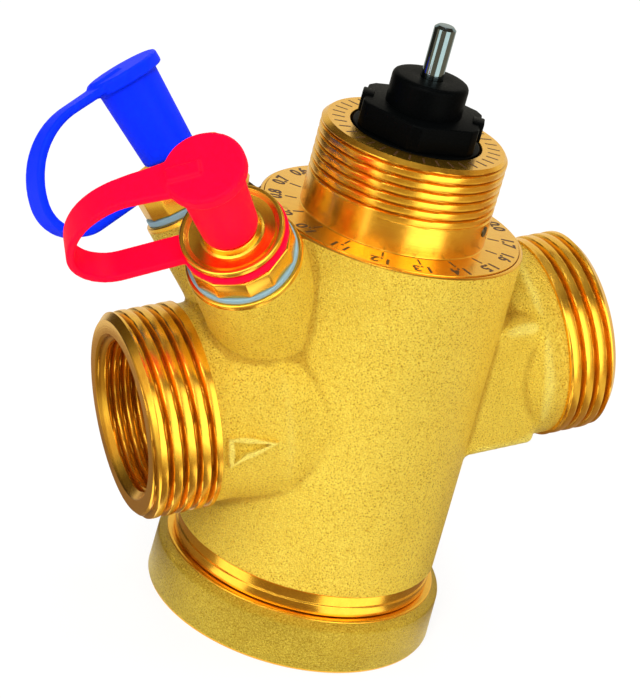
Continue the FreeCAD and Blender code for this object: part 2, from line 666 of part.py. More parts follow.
def make_setting():
    """Dial that sets the flow, its clip, and the throttle sleeve that turns with it."""
    dial = new_body("setting_dial")
    revolve(dial, [
        ("dial_bore", "sleeve_plate_top"),
        ("dial_tail_radius", "sleeve_plate_top"),
        ("dial_tail_radius", "dial_journal_foot"),
        ("dial_journal", "dial_journal_foot"),
        ("dial_journal", "clip_foot"),
        ("clip_groove_radius", "clip_foot"),
        ("clip_groove_radius", "clip_foot + clip_height"),
        ("dial_journal", "clip_foot + clip_height"),
        ("dial_journal", "neck_bore_foot + seat_gap"),
        ("dial_base_radius", "neck_bore_foot + seat_gap"),
        ("dial_base_radius", "dial_base_top"),
        ("hub_radius", "dial_base_top"),
        ("hub_radius", "hub_top - hub_edge"),
        ("hub_radius - hub_edge", "hub_top"),
        ("stem_radius + running_gap", "hub_top"),
        ("stem_radius + running_gap", "dial_bore_top"),
        ("dial_bore", "dial_bore_top"),
    ])
    prism(dial, "hex_flats / sqrt(3)", "dial_base_top - seat_gap", "hex_top - dial_base_top + seat_gap")
    bore_again = [
        ("0", "dial_base_top - free_gap"),
        ("stem_radius + running_gap", "dial_base_top - free_gap"),
        ("stem_radius + running_gap", "hub_top + free_gap"),
        ("0", "hub_top + free_gap"),
    ]
    revolve(dial, bore_again, "Groove")
    revolve(dial, [
        ("0", "dial_base_top - free_gap"),
        ("dial_bore", "dial_base_top - free_gap"),
        ("dial_bore", "dial_bore_top"),
        ("0", "dial_bore_top"),
    ], "Groove")
    revolve(dial, ring_points(
        "hex_corner_radius", "hex_flats", "dial_base_top - free_gap", "hex_top + free_gap",
    ), "Groove")
    sub_part("setting_dial", dial)
    sub_part("dial_clip", turned("dial_clip", ring_points(
        "clip_groove_radius + running_gap", "clip_radius", "clip_foot", "clip_foot + clip_height",
    )))
    foot = "partition_top + seat_flange + free_gap"
    sleeve = turned("sleeve_blank", [
        ("stem_radius + free_gap", "sleeve_plate_foot"),
        ("sleeve_radius - sleeve_wall", "sleeve_plate_foot"),
        ("sleeve_radius - sleeve_wall", foot),
        ("sleeve_radius", foot),
        ("sleeve_radius", "sleeve_plate_top"),
        ("sleeve_hub_radius", "sleeve_plate_top"),
        ("sleeve_hub_radius", "dial_journal_foot"),
        ("dial_tail_radius + running_gap", "dial_journal_foot"),
        ("dial_tail_radius + running_gap", "sleeve_plate_top"),
        ("stem_radius + free_gap", "sleeve_plate_top"),
    ])
    window = doc.addObject("Part::Box", "sleeve_window")
    window.setExpression("Length", bound("2 * sleeve_radius"))
    window.setExpression("Width", bound("window_width"))
    window.setExpression("Height", bound("window_height"))
    window.setExpression("Placement.Base.y", bound("-window_width / 2"))
    window.setExpression("Placement.Base.z", bound(foot + " + sleeve_wall"))
    sub_part("setting_sleeve", cut("setting_sleeve", sleeve, window))


def make_stem():
    """Stem with its collar, spring, seal, retainer and closing plug, above the seat ring."""
    plug_foot = "partition_top + seat_flange + seat_lip + stem_travel + free_gap"
    stem_foot = plug_foot + " + plug_floor"
    hub_top = plug_foot + " + plug_hub_height"
    retainer_foot = "collar_foot + collar_height + free_gap"
    retainer_top = retainer_foot + " + retainer_height"
    sub_part("stem", turned("stem", [
        ("0", stem_foot),
        ("stem_radius", stem_foot),
        ("stem_radius", "stem_top - stem_edge"),
        ("stem_radius - stem_edge", "stem_top"),
        ("0", "stem_top"),
    ]))
    sub_part("stem_collar", turned("stem_collar", ring_points(
        "stem_radius + running_gap", "collar_radius", "collar_foot", "collar_foot + collar_height",
    )))
    sub_part("stem_spring", coil(
        "stem_spring", "stem_spring_radius", "stem_spring_wire", "stem_spring_turns",
        "sleeve_plate_top + seat_gap", "collar_foot - seat_gap",
    ))
    sub_part("seal_retainer", turned("seal_retainer", ring_points(
        "stem_radius + free_gap", "dial_bore - running_gap", retainer_foot, retainer_top,
    )))
    sub_part("stem_seal", turned("stem_seal", ring_points(
        "stem_radius + seat_gap", "dial_bore - running_gap", retainer_top, "dial_bore_top",
    )))
    sub_part("control_plug", turned("control_plug", [
        ("0", plug_foot),
        ("plug_radius", plug_foot),
        ("plug_radius", plug_foot + " + plug_thickness"),
        ("plug_hub_radius", plug_foot + " + plug_thickness + plug_cone"),
        ("plug_hub_radius", hub_top),
        ("stem_radius + running_gap", hub_top),
        ("stem_radius + running_gap", stem_foot),
        ("0", stem_foot),
    ]))
    seat_top = "partition_top + seat_flange"
    sub_part("seat_ring", turned("seat_ring", [
        ("seat_bore", "partition_foot"),
        ("partition_hole - running_gap", "partition_foot"),
        ("partition_hole - running_gap", "partition_top"),
        ("seat_flange_radius", "partition_top"),
        ("seat_flange_radius", seat_top),
        ("seat_lip_radius", seat_top),
        ("seat_lip_radius", seat_top + " + seat_lip"),
        ("seat_bore", seat_top + " + seat_lip"),
    ]))


def make_test_point(colour, side):
    """Test plug with its washer, rubber core and strapped cap."""
    place = test_place(side)
    washer_top = "boss_top + washer_height"
    hex_top = washer_top + " + plug_hex_height"
    dish_foot = hex_top + " + ring_groove_width"
    plug = new_body(f"{colour}_test_plug", place)
    revolve(plug, [
        ("tap_radius", SHANK_START),
        ("boss_hole - fit_gap", SHANK_START),
        ("boss_hole - fit_gap", washer_top),
        ("ring_groove_radius", washer_top),
        ("ring_groove_radius", dish_foot),
        ("dish_radius", dish_foot),
        ("dish_radius", DISH_RIM),
        ("dish_radius - dish_rim_width", DISH_RIM),
        ("nipple_radius + dish_rim_width", DISH_RIM + " - dish_depth"),
        ("nipple_radius", DISH_RIM + " - dish_depth"),
        ("nipple_radius", NIPPLE_TOP + " - nipple_edge"),
        ("nipple_radius - nipple_edge", NIPPLE_TOP),
        ("tap_radius", NIPPLE_TOP),
        ("tap_radius", CORE_END),
        ("core_radius", CORE_END),
        ("core_radius", CORE_START),
        ("tap_radius", CORE_START),
    ])
    prism(plug, "plug_hex_flats / sqrt(3)", washer_top, "plug_hex_height")
    revolve(plug, [
        ("plug_hex_corner", washer_top),
        ("plug_hex_flats", washer_top),
        ("plug_hex_flats", hex_top),
        ("plug_hex_flats / 2", hex_top),
        ("plug_hex_corner", hex_top + " - plug_hex_chamfer"),
    ], "Groove")
    revolve(plug, [
        ("0", SHANK_START),
        ("tap_radius", SHANK_START),
        ("tap_radius", CORE_START),
        ("0", CORE_START),
    ], "Groove")
    sub_part(f"{colour}_test_plug", plug)
    sub_part(f"{colour}_plug_washer", turned(f"{colour}_plug_washer", ring_points(
        "boss_hole", "washer_radius", "boss_top", washer_top,
    ), place))
    sub_part(f"{colour}_plug_core", turned(f"{colour}_plug_core", [
        ("0", CORE_START),
        ("core_radius - running_gap", CORE_START),
        ("core_radius - running_gap", CORE_END),
        ("0", CORE_END),
    ], place))
    sub_part(f"{colour}_cap", make_strapped_cap(colour, side, hex_top))


def make_strapped_cap(colour, side, hex_top):
    """Moulded cap in one piece with its strap and the ring that turns in the test plug's groove."""
    body = new_body(f"{colour}_cap", test_place(side, "strap_swing"))
    revolve(body, [
        ("cover_bore", COVER_FOOT),
        ("cover_foot_radius - cover_foot_edge", COVER_FOOT),
        ("cover_foot_radius", COVER_FOOT + " + cover_foot_edge"),
        ("cover_neck_radius", COVER_DISC_FOOT),
        ("cover_disc_radius", COVER_DISC_FOOT),
        ("cover_disc_radius", COVER_TOP + " - cover_edge"),
        ("cover_disc_radius - cover_edge", COVER_TOP),
        ("0", COVER_TOP),
        ("0", COVER_BORE_END),
        ("cover_bore", COVER_BORE_END),
    ])
    ring_middle = hex_top + " + ring_groove_width / 2"
    disc_middle = f"({COVER_DISC_FOOT} + {COVER_TOP}) / 2"
    path = strap_path(body, disc_middle, ring_middle)
    section = new_sketch(body, "YZ_Plane")
    strap_section(section, disc_middle)
    section.AttachmentOffset = Placement(Vector(0, 0, size("strap_start")), Rotation())
    section.setExpression("AttachmentOffset.Base.z", bound("strap_start"))
    strap = body.newObject("PartDesign::AdditivePipe", f"{colour}_strap")
    strap.Profile = section
    strap.Spine = (path, [f"Edge{index + 1}" for index in range(4)])
    doc.recompute()
    revolve(body, ring_points(
        "ring_groove_radius + running_gap",
        "ring_radius",
        ring_middle + " - strap_wall / 2",
        ring_middle + " + strap_wall / 2",
    ))
    return body


def strap_path(body, start_height, end_height):
    """Middle line of the strap: a run out of the disc, a wide bend, a tight bend and a run to the ring."""
    sketch = new_sketch(body, "XZ_Plane")
    wide = size("strap_wide_bend")
    tight = size("strap_tight_bend")
    top = size(start_height)
    foot = size(end_height)
    wide_centre = Vector(size("strap_run"), top - wide, 0)
    rise = foot + tight - wide_centre.y
    turn = math.asin(rise / (wide - tight))
    tight_centre = wide_centre + Vector(math.cos(turn), math.sin(turn), 0) * (wide - tight)
    start = Vector(size("strap_start"), top, 0)
    end = Vector(size("strap_end"), foot, 0)
    up = Vector(0, 0, 1)
    sketch.addGeometry(Part.LineSegment(start, Vector(wide_centre.x, top, 0)), False)
    sketch.addGeometry(Part.ArcOfCircle(Part.Circle(wide_centre, up, wide), turn, math.pi / 2), False)
    sketch.addGeometry(Part.ArcOfCircle(Part.Circle(tight_centre, up, tight), -math.pi / 2, turn), False)
    sketch.addGeometry(Part.LineSegment(Vector(tight_centre.x, foot, 0), end), False)
    sketch.addConstraint(Sketcher.Constraint("Horizontal", 0))
    sketch.addConstraint(Sketcher.Constraint("Horizontal", 3))
    sketch.addConstraint(Sketcher.Constraint("Tangent", 0, 2, 1, 2))
    sketch.addConstraint(Sketcher.Constraint("Tangent", 1, 1, 2, 2))
    sketch.addConstraint(Sketcher.Constraint("Tangent", 2, 1, 3, 1))
    hold(sketch, "Radius", "strap_wide_bend", 1)
    hold(sketch, "Radius", "strap_tight_bend", 2)
    hold_point(sketch, 0, 1, "strap_start", start_height)
    hold(sketch, "DistanceX", "strap_run", -1, 1, 0, 2)
    hold_point(sketch, 3, 2, "strap_end", end_height)
    return sketch


def strap_section(sketch, height):
    """Rectangle of the strap's width and thickness, at the height of its start."""
    half = "strap_width / 2"
    low = f"{height} - strap_wall / 2"
    high = f"{height} + strap_wall / 2"
    points = [("-" + half, low), (half, low), (half, high), ("-" + half, high)]
    corners = [Vector(size(across), size(along), 0) for across, along in points]
    for index, corner in enumerate(corners):
        sketch.addGeometry(Part.LineSegment(corner, corners[(index + 1) % 4]), False)
    for index in range(4):
        sketch.addConstraint(Sketcher.Constraint("Coincident", index, 2, (index + 1) % 4, 1))
    for index, (across, along) in enumerate(points):
        hold_point(sketch, index, 1, across, along)


def write_parts():
    """Check every object and sub-part, then write one file for each sub-part."""
    doc.recompute()
    for item in doc.Objects:
        if "Invalid" in item.State or "Error" in item.State:
            raise RuntimeError(f"{item.Label} failed to build: {item.State}")
    os.makedirs("parts", exist_ok=True)
    for item in sub_parts:
        shape = item.Shape
        if shape.isNull() or not shape.isValid() or len(shape.Solids) != 1:
            raise RuntimeError(f"{item.Label} is not one valid solid: {len(shape.Solids)} solids")
    for item in sub_parts:
        item.Shape.exportStep(f"parts/{item.Label}.step")
        print(f"{item.Label}: {item.Shape.Volume:.1f} mm3")


make_valve_body()
make_bottom_cap()
make_regulator()
make_bonnet()
make_setting()
make_stem()
make_test_point("red", -1)
make_test_point("blue", 1)
write_parts()
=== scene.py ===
"""Looks of a pressure independent control valve, built round its CAD frame.

Sizes are in millimetres where a name or docstring says so, and Blender's own metres elsewhere.
"""

import json
import logging
import math
from dataclasses import dataclass, field
from enum import Enum
from typing import Callable, Iterable, Optional, Sequence

import bmesh
import bpy
import numpy as np
from mathutils import Matrix, Vector

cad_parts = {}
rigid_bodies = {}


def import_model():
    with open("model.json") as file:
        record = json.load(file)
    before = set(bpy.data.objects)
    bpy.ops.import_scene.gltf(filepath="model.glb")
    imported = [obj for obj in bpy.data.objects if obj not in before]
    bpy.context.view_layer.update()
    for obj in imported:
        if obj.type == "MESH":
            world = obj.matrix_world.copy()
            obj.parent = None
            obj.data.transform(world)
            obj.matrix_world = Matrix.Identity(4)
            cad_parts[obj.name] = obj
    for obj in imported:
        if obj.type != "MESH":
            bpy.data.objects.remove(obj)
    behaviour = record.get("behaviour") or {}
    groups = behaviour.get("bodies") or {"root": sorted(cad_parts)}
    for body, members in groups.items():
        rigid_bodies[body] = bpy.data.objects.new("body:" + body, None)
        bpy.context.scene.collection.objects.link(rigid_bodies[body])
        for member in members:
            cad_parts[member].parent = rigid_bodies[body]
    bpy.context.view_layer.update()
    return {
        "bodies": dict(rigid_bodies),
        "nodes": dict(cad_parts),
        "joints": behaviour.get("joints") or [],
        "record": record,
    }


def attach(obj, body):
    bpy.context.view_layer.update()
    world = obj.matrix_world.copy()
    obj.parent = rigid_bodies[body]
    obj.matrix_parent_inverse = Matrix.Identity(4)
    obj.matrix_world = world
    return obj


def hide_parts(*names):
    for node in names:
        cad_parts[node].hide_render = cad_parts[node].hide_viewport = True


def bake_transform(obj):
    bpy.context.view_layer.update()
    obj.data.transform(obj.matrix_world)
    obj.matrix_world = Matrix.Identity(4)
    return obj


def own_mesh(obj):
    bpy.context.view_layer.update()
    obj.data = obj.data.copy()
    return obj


LOG = logging.getLogger("control_valve")
MM = 0.001
IMAGE_HEIGHT_PX = 698
TURN_ATTRIBUTE = "turn"
# Relief of a mesh, which finishes paint as shade in hollows and as edge wear with a highlight on proud
# edges.
RELIEF_ATTRIBUTE = "relief"
LONGEST_ROUNDING = 0.49
RING_BUMP = 0.03 * MM
ROUND = 128
LARGE_ROUND = 192
SMALL_ROUND = 96
TURNED_SHARP = 32.0
MOULDED_SHARP = 40.0
ROUND_SHARP = 50.0
UPRIGHT = Matrix.Identity(4)
WHITE = (1.0, 1.0, 1.0)


class Body(Enum):
    """Bodies of the frame that pieces ride on."""

    HOUSING = "housing"
    DIAL = "dial"
    STEM = "stem"
    REGULATOR = "regulator"
    RED_CAP = "red_cap"
    BLUE_CAP = "blue_cap"


class Slot(Enum):
    """Material slots of the record."""

    CAST_BRASS = "cast_brass"
    TURNED_BRASS = "turned_brass"
    BLACK_PLASTIC = "black_plastic"
    BRIGHT_STEEL = "bright_steel"
    SPRING_STEEL = "spring_steel"
    BLACK_RUBBER = "black_rubber"
    GREY_WASHER = "grey_washer"
    RED_PLASTIC = "red_plastic"
    BLUE_PLASTIC = "blue_plastic"


class Side(Enum):
    """The two test points: the red one in front and the blue one behind."""

    RED = -1
    BLUE = 1


Colour = tuple[float, float, float]
Point = tuple[float, float]
Spot = tuple[float, float, float]
Sockets = bpy.types.bpy_prop_collection


class NodeTree:
    """Short hand for adding nodes and links to a node tree."""

    def __init__(self, tree: bpy.types.NodeTree) -> None:
        """Keep the tree that nodes are added to."""
        self.tree = tree

    def add(
        self, kind: str, sockets: Optional[dict[object, object]] = None, **settings: object
    ) -> bpy.types.Node:
        """Add a node, set its properties and feed its inputs.

        Args:
            kind: Node type, such as ShaderNodeBump.
            sockets: What the inputs get, by name or number.
            settings: Node properties to set.

        Returns:
            The new node.
        """
        node = self.tree.nodes.new(kind)
        for name, value in settings.items():
            setattr(node, name, value)
        self.fill(node, sockets or {})
        return node

    def fill(self, node: bpy.types.Node, sockets: dict[object, object]) -> None:
        """Feed a node's inputs, by name or number."""
        for label, value in sockets.items():
            self.feed(node.inputs[label], value)

    def feed(self, target: bpy.types.NodeSocket, value: object) -> None:
        """Link an input, or set it.

        Args:
            target: Input socket.
            value: Socket to link, number or colour.
        """
        if isinstance(value, bpy.types.NodeSocket):
            self.tree.links.new(value, target)
        else:
            target.default_value = (*value, 1.0) if isinstance(value, tuple) else value

    def math(
        self, operation: str, first: object, second: object, third: object = 0.0
    ) -> bpy.types.NodeSocket:
        """Output of a math node, whose inputs are sockets or numbers."""
        return self.add("ShaderNodeMath", {0: first, 1: second, 2: third}, operation=operation).outputs[0]

    def mix(self, factor: bpy.types.NodeSocket, low: object, high: object) -> bpy.types.NodeSocket:
        """Mix of two colours, by a mask from the low one to the high one."""
        return self.add("ShaderNodeMix", {"Factor": factor, 6: low, 7: high}, data_type="RGBA").outputs[2]

    def spread(self, value: object, low: float, high: float, **settings: object) -> bpy.types.NodeSocket:
        """Range of a value, stretched to run from 0 to 1."""
        sockets = {"Value": value, "From Min": low, "From Max": high}
        return self.add("ShaderNodeMapRange", sockets, **settings).outputs[0]


def start_group(
    name: str, inputs: dict[str, float], outputs: Sequence[str]
) -> tuple[NodeTree, Sockets, Sockets]:
    """Start a shader node group.

    Args:
        name: Group's name.
        inputs: Names and first values of its inputs.
        outputs: Names of its outputs.

    Returns:
        Its tree, the sockets that bring its inputs and the sockets that take its outputs.
    """
    tree = bpy.data.node_groups.new(name, "ShaderNodeTree")
    for label, value in inputs.items():
        socket = tree.interface.new_socket(name=label, in_out="INPUT", socket_type="NodeSocketFloat")
        socket.default_value = value
    for label in outputs:
        tree.interface.new_socket(name=label, in_out="OUTPUT", socket_type="NodeSocketFloat")
    nodes = NodeTree(tree)
    return nodes, nodes.add("NodeGroupInput").outputs, nodes.add("NodeGroupOutput").inputs


def make_grain_group() -> bpy.types.NodeTree:
    """Grain of a surface, such as cast metal or moulded plastic.

    Returns:
        A group with Scale and Blotch inputs and Height, Mask and Blotches outputs.
    """
    nodes, entry, leave = start_group(
        "surface_grain", {"Scale": 1.0, "Blotch": 0.1}, ("Height", "Mask", "Blotches")
    )
    place = nodes.add("ShaderNodeTexCoord").outputs["Object"]
    even = {"Vector": place, "Scale": entry["Scale"]}
    fine = nodes.add("ShaderNodeTexNoise", {**even, "Detail": 3.0, "Roughness": 0.75}).outputs[0]
    cells = nodes.add("ShaderNodeTexVoronoi", even, feature="F1")
    blotch = nodes.add("ShaderNodeTexNoise", {"Vector": place, "Scale": entry["Blotch"], "Detail": 2.0})
    pits = nodes.math("MULTIPLY", cells.outputs["Distance"], 0.45)
    nodes.feed(leave["Height"], nodes.math("SUBTRACT", fine, pits))
    nodes.feed(leave["Mask"], nodes.spread(fine, 0.33, 0.67))
    nodes.feed(leave["Blotches"], nodes.spread(blotch.outputs[0], 0.3, 0.7))
    return nodes.tree


def make_turning_group() -> bpy.types.NodeTree:
    """Fine rings that a lathe tool leaves, along a turned profile.

    Returns:
        A group with a Rings input and a Height output.
    """
    nodes, entry, leave = start_group("turning_marks", {"Rings": 6.0}, ("Height",))
    along = nodes.add("ShaderNodeAttribute", attribute_name=TURN_ATTRIBUTE).outputs["Fac"]
    rings = nodes.add("ShaderNodeTexNoise", noise_dimensions="1D")
    nodes.fill(rings, {"W": along, "Scale": entry["Rings"], "Detail": 2.0})
    nodes.feed(leave["Height"], rings.outputs[0])
    return nodes.tree


def make_shade_and_wear_group() -> bpy.types.NodeTree:
    """Edge wear with a painted highlight on edges that stand proud, and painted shade in hollows that lie
    deep, from a mesh's relief.

    Returns:
        A group with an Amount input, a Ridge output for edge wear with a painted highlight and a Hollow
        output for painted shade.
    """
    nodes, entry, leave = start_group("painted_shade_and_edge_wear", {"Amount": 1.0}, ("Ridge", "Hollow"))
    relief = nodes.add("ShaderNodeAttribute", attribute_name=RELIEF_ATTRIBUTE).outputs["Fac"]
    # Ridge lays edge wear with a painted highlight on proud edges, Hollow lays painted shade in hollows.
    for name, full in (("Ridge", 1.0), ("Hollow", -1.0)):
        part = nodes.spread(relief, 0.3 * full, full, interpolation_type="SMOOTHSTEP")
        nodes.feed(leave[name], nodes.math("MULTIPLY", part, entry["Amount"]))
    return nodes.tree


@dataclass(frozen=True)
class SharedGroups:
    """Shader node groups that several finishes use."""

    grain: bpy.types.NodeTree
    turning: bpy.types.NodeTree
    edges: bpy.types.NodeTree


@dataclass(frozen=True)
class Finish:
    """Finish with grain, tool rings or both, and on some, edge wear with a painted highlight on proud edges
    and painted shade in hollows.

    Grain scales are in cycles per metre, and bump distances in metres.
    """

    name: str
    colour: Colour
    dark: Colour
    metallic: float
    roughness: float
    roughness_spread: float
    grain_scale: float
    grain_bump: float
    grain_strength: float
    blotch_scale: float = 90.0
    blotch_dark: float = 0.35
    rings: float = 0.0
    ring_strength: float = 0.0
    specular: float = 0.5
    # Colours laid on from the relief: edge wear with a painted highlight on proud edges, painted shade in
    # hollows, and how strongly both are laid on.
    ridge: Optional[Colour] = None
    hollow: Optional[Colour] = None
    shade_and_wear_amount: float = 0.0

    def material(self, groups: SharedGroups) -> bpy.types.Material:
        """Build the finish's material.

        Args:
            groups: Shared shader node groups.

        Returns:
            The new material.
        """
        material = bpy.data.materials.new(self.name)
        material.use_nodes = True
        nodes = NodeTree(material.node_tree)
        scales = {"Scale": self.grain_scale, "Blotch": self.blotch_scale}
        grain = nodes.add("ShaderNodeGroup", scales, node_tree=groups.grain).outputs
        tint = nodes.mix(grain["Mask"], self.dark, self.colour)
        tint = nodes.mix(nodes.math("MULTIPLY", grain["Blotches"], self.blotch_dark), tint, self.dark)
        # Painted shade in hollows, then edge wear with a painted highlight on proud edges.
        if self.ridge and self.hollow:
            amount = {"Amount": self.shade_and_wear_amount}
            edges = nodes.add("ShaderNodeGroup", amount, node_tree=groups.edges).outputs
            tint = nodes.mix(edges["Hollow"], tint, self.hollow)
            tint = nodes.mix(edges["Ridge"], tint, self.ridge)
        low = self.roughness - self.roughness_spread
        rough = nodes.math("MULTIPLY_ADD", grain["Mask"], 2 * self.roughness_spread, low)
        normal = nodes.add("ShaderNodeBump", {
            "Strength": self.grain_strength, "Distance": self.grain_bump, "Height": grain["Height"],
        }).outputs[0]
        if self.rings:
            turning = nodes.add("ShaderNodeGroup", {"Rings": self.rings}, node_tree=groups.turning)
            normal = nodes.add("ShaderNodeBump", {
                "Strength": self.ring_strength, "Distance": RING_BUMP,
                "Height": turning.outputs["Height"], "Normal": normal,
            }).outputs[0]
        nodes.fill(material.node_tree.nodes["Principled BSDF"], {
            "Base Color": tint, "Metallic": self.metallic, "Roughness": rough,
            "Specular IOR Level": self.specular, "Normal": normal,
        })
        return material


CAST_BRASS = Finish(
    "cast_brass_grain", (1.0, 0.86, 0.15), (0.70, 0.44, 0.022),
    metallic=0.8, roughness=0.31, roughness_spread=0.07,
    grain_scale=3700.0, grain_bump=0.34 * MM, grain_strength=1.0,
    blotch_scale=140.0, blotch_dark=0.2,
    # Pale edge colour: edge wear with a painted highlight. Dark orange-brown hollow colour: painted shade in
    # creases and recesses.
    ridge=(1.0, 0.90, 0.24), hollow=(0.40, 0.19, 0.006), shade_and_wear_amount=0.55,
)
CAST_CAP_BRASS = Finish(
    "cast_cap_brass_grain", (0.76, 0.60, 0.085), (0.38, 0.23, 0.011),
    metallic=1.0, roughness=0.34, roughness_spread=0.07,
    grain_scale=3700.0, grain_bump=0.32 * MM, grain_strength=1.0,
    blotch_scale=140.0, blotch_dark=0.25,
)
TURNED_BRASS = Finish(
    "turned_brass_bright", (0.95, 0.55, 0.06), (0.92, 0.49, 0.045),
    metallic=1.0, roughness=0.25, roughness_spread=0.015,
    grain_scale=900.0, grain_bump=0.004 * MM, grain_strength=0.1,
    blotch_scale=60.0, blotch_dark=0.3, rings=3.2, ring_strength=0.25,
    # Dark hollow colour: painted shade in thread grooves. Edge colour: edge wear with a painted highlight.
    ridge=(0.98, 0.66, 0.10), hollow=(0.50, 0.25, 0.025), shade_and_wear_amount=0.9,
)
ENGRAVING = Finish(
    "engraved_brown", (0.10, 0.045, 0.012), (0.05, 0.02, 0.006),
    metallic=0.6, roughness=0.55, roughness_spread=0.1,
    grain_scale=2500.0, grain_bump=0.03 * MM, grain_strength=0.3,
)
BLACK_PLASTIC = Finish(
    "black_moulded", (0.0012, 0.0015, 0.0018), (0.0008, 0.001, 0.001),
    metallic=0.0, roughness=0.36, roughness_spread=0.06,
    grain_scale=2600.0, grain_bump=0.03 * MM, grain_strength=0.35,
    blotch_dark=0.4, specular=0.012,
)
WHITE_PLASTIC = Finish(
    "white_moulded", (0.75, 0.75, 0.71), (0.66, 0.66, 0.62),
    metallic=0.0, roughness=0.5, roughness_spread=0.06,
    grain_scale=1800.0, grain_bump=0.03 * MM, grain_strength=0.2,
)
BRIGHT_STEEL = Finish(
    "ground_steel", (0.21, 0.30, 0.35), (0.18, 0.26, 0.31),
    metallic=1.0, roughness=0.08, roughness_spread=0.02,
    grain_scale=1500.0, grain_bump=0.01 * MM, grain_strength=0.1,
    rings=5.0, ring_strength=0.12,
)
DARK_STEEL = Finish(
    "oxidised_steel", (0.10, 0.10, 0.075), (0.05, 0.05, 0.04),
    metallic=1.0, roughness=0.45, roughness_spread=0.1,
    grain_scale=2400.0, grain_bump=0.03 * MM, grain_strength=0.4,
)
SPRING_STEEL = Finish(
    "drawn_wire", (0.56, 0.57, 0.58), (0.44, 0.45, 0.46),
    metallic=1.0, roughness=0.28, roughness_spread=0.06,
    grain_scale=1500.0, grain_bump=0.02 * MM, grain_strength=0.2,
)
BLACK_RUBBER = Finish(
    "moulded_rubber", (0.022, 0.022, 0.022), (0.012, 0.012, 0.012),
    metallic=0.0, roughness=0.62, roughness_spread=0.08,
    grain_scale=1600.0, grain_bump=0.03 * MM, grain_strength=0.3,
)
GREY_WASHER = Finish(
    "pressed_fibre", (0.18, 0.32, 0.39), (0.14, 0.26, 0.33),
    metallic=0.0, roughness=0.5, roughness_spread=0.1,
    grain_scale=2600.0, grain_bump=0.04 * MM, grain_strength=0.4,
)
RED_PLASTIC = Finish(
    "red_moulded", (0.86, 0.0, 0.03), (0.76, 0.0, 0.022),
    metallic=0.0, roughness=0.50, roughness_spread=0.05,
    grain_scale=1500.0, grain_bump=0.02 * MM, grain_strength=0.2,
    blotch_dark=0.25, specular=0.03,
)
BLUE_PLASTIC = Finish(
    "blue_moulded", (0.001, 0.024, 0.86), (0.001, 0.017, 0.74),
    metallic=0.0, roughness=0.50, roughness_spread=0.05,
    grain_scale=1500.0, grain_bump=0.02 * MM, grain_strength=0.2,
    blotch_dark=0.25, specular=0.03,
)


def placed(name: str, data: bpy.types.ID) -> bpy.types.Object:
    """Put an object into the scene.

    Args:
        name: Object's name.
        data: Its mesh, curve, light or camera.

    Returns:
        The new object.
    """
    item = bpy.data.objects.new(name, data)
    bpy.context.scene.collection.objects.link(item)
    return item


class Workshop:
    """Materials, and the steps that every new piece goes through."""

    def __init__(self) -> None:
        """Build the shared groups."""
        self.groups = SharedGroups(make_grain_group(), make_turning_group(), make_shade_and_wear_group())
        self.materials: dict[str, bpy.types.Material] = {}

    def material(self, finish: Finish) -> bpy.types.Material:
        """Material of a finish, built once.

        Args:
            finish: The finish.

        Returns:
            Its material.
        """
        if finish.name not in self.materials:
            self.materials[finish.name] = finish.material(self.groups)
        return self.materials[finish.name]

    def piece(
        self,
        name: str,
        mesh: bpy.types.Mesh,
        finish: Finish,
        body: Optional[Body],
        replaced: Sequence[str] = (),
    ) -> bpy.types.Object:
        """Make a piece of the object from a mesh in metres.

        Args:
            name: Piece's name.
            mesh: Its mesh.
            finish: Its finish.
            body: Body that it rides on, or None, which leaves it on no body.
            replaced: CAD nodes that it stands for.

        Returns:
            The new object.
        """
        item = placed(name, mesh)
        mesh.materials.append(self.material(finish))
        if body:
            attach(item, body.value)
        if replaced:
            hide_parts(*replaced)
        LOG.info("%s rides on %s, %d faces", name, body.value if body else "two bodies", len(mesh.polygons))
        return item

    def turned_brass(self, name: str, mesh: bpy.types.Mesh, replaced: Sequence[str] = ()) -> None:
        """Make a piece of turned brass that belongs to the housing."""
        self.piece(name, mesh, TURNED_BRASS, Body.HOUSING, replaced)

    def dress_node(self, frame: dict, node: str, finish: Finish) -> None:
        """Give a CAD node its finish.

        Args:
            frame: Loaded frame.
            node: Node's name.
            finish: Its finish.
        """
        item = frame["nodes"][node]
        item.data.materials.clear()
        item.data.materials.append(self.material(finish))
        LOG.info("%s keeps its CAD shape, %d faces", node, len(item.data.polygons))


@dataclass(frozen=True)
class Corner:
    """Corner of a turned profile: radius, height and edge rounding in millimetres."""

    radius: float
    height: float
    rounding: float = 0.0


@dataclass(frozen=True)
class Thread:
    """Helical thread on a turned surface, in millimetres.

    surface is the radius that the tool starts from, and inside is true for a nut's thread.
    """

    surface: float
    depth: float
    pitch: float
    start: float
    end: float
    inside: bool = False
    crest_share: float = 0.60
    root_share: float = 0.05
    crown: float = 0.14
    fade: float = 1.0

    def radius(self, height: float, angle: float) -> float:
        """Radius of the thread at a spot.

        Args:
            height: Height along the axis in millimetres.
            angle: Angle round the axis in radians.

        Returns:
            The radius in millimetres.
        """
        share = (height / self.pitch - angle / math.tau) % 1.0
        slope = abs(2.0 * share - 1.0)
        ramp = (slope - self.crest_share) / (1.0 - self.crest_share - self.root_share)
        eased = min(max(ramp, 0.0), 1.0)
        cut = eased * eased * (3.0 - 2.0 * eased)
        fall = min(slope / (1.0 - self.root_share), 1.0) ** 2
        groove = self.depth * (cut + (fall - cut) * self.crown) * self.strength(height)
        return self.surface + groove if self.inside else self.surface - groove

    def strength(self, height: float) -> float:
        """How deep the groove is, from 0 at its run-out to 1."""
        return min(max((height - self.start) / self.fade, 0.0), 1.0)

    def heights(self, per_turn: int) -> list[float]:
        """Heights at which the thread is sampled."""
        count = max(int((self.end - self.start) / self.pitch * per_turn), 2)
        return [self.start + (self.end - self.start) * step / count for step in range(count + 1)]


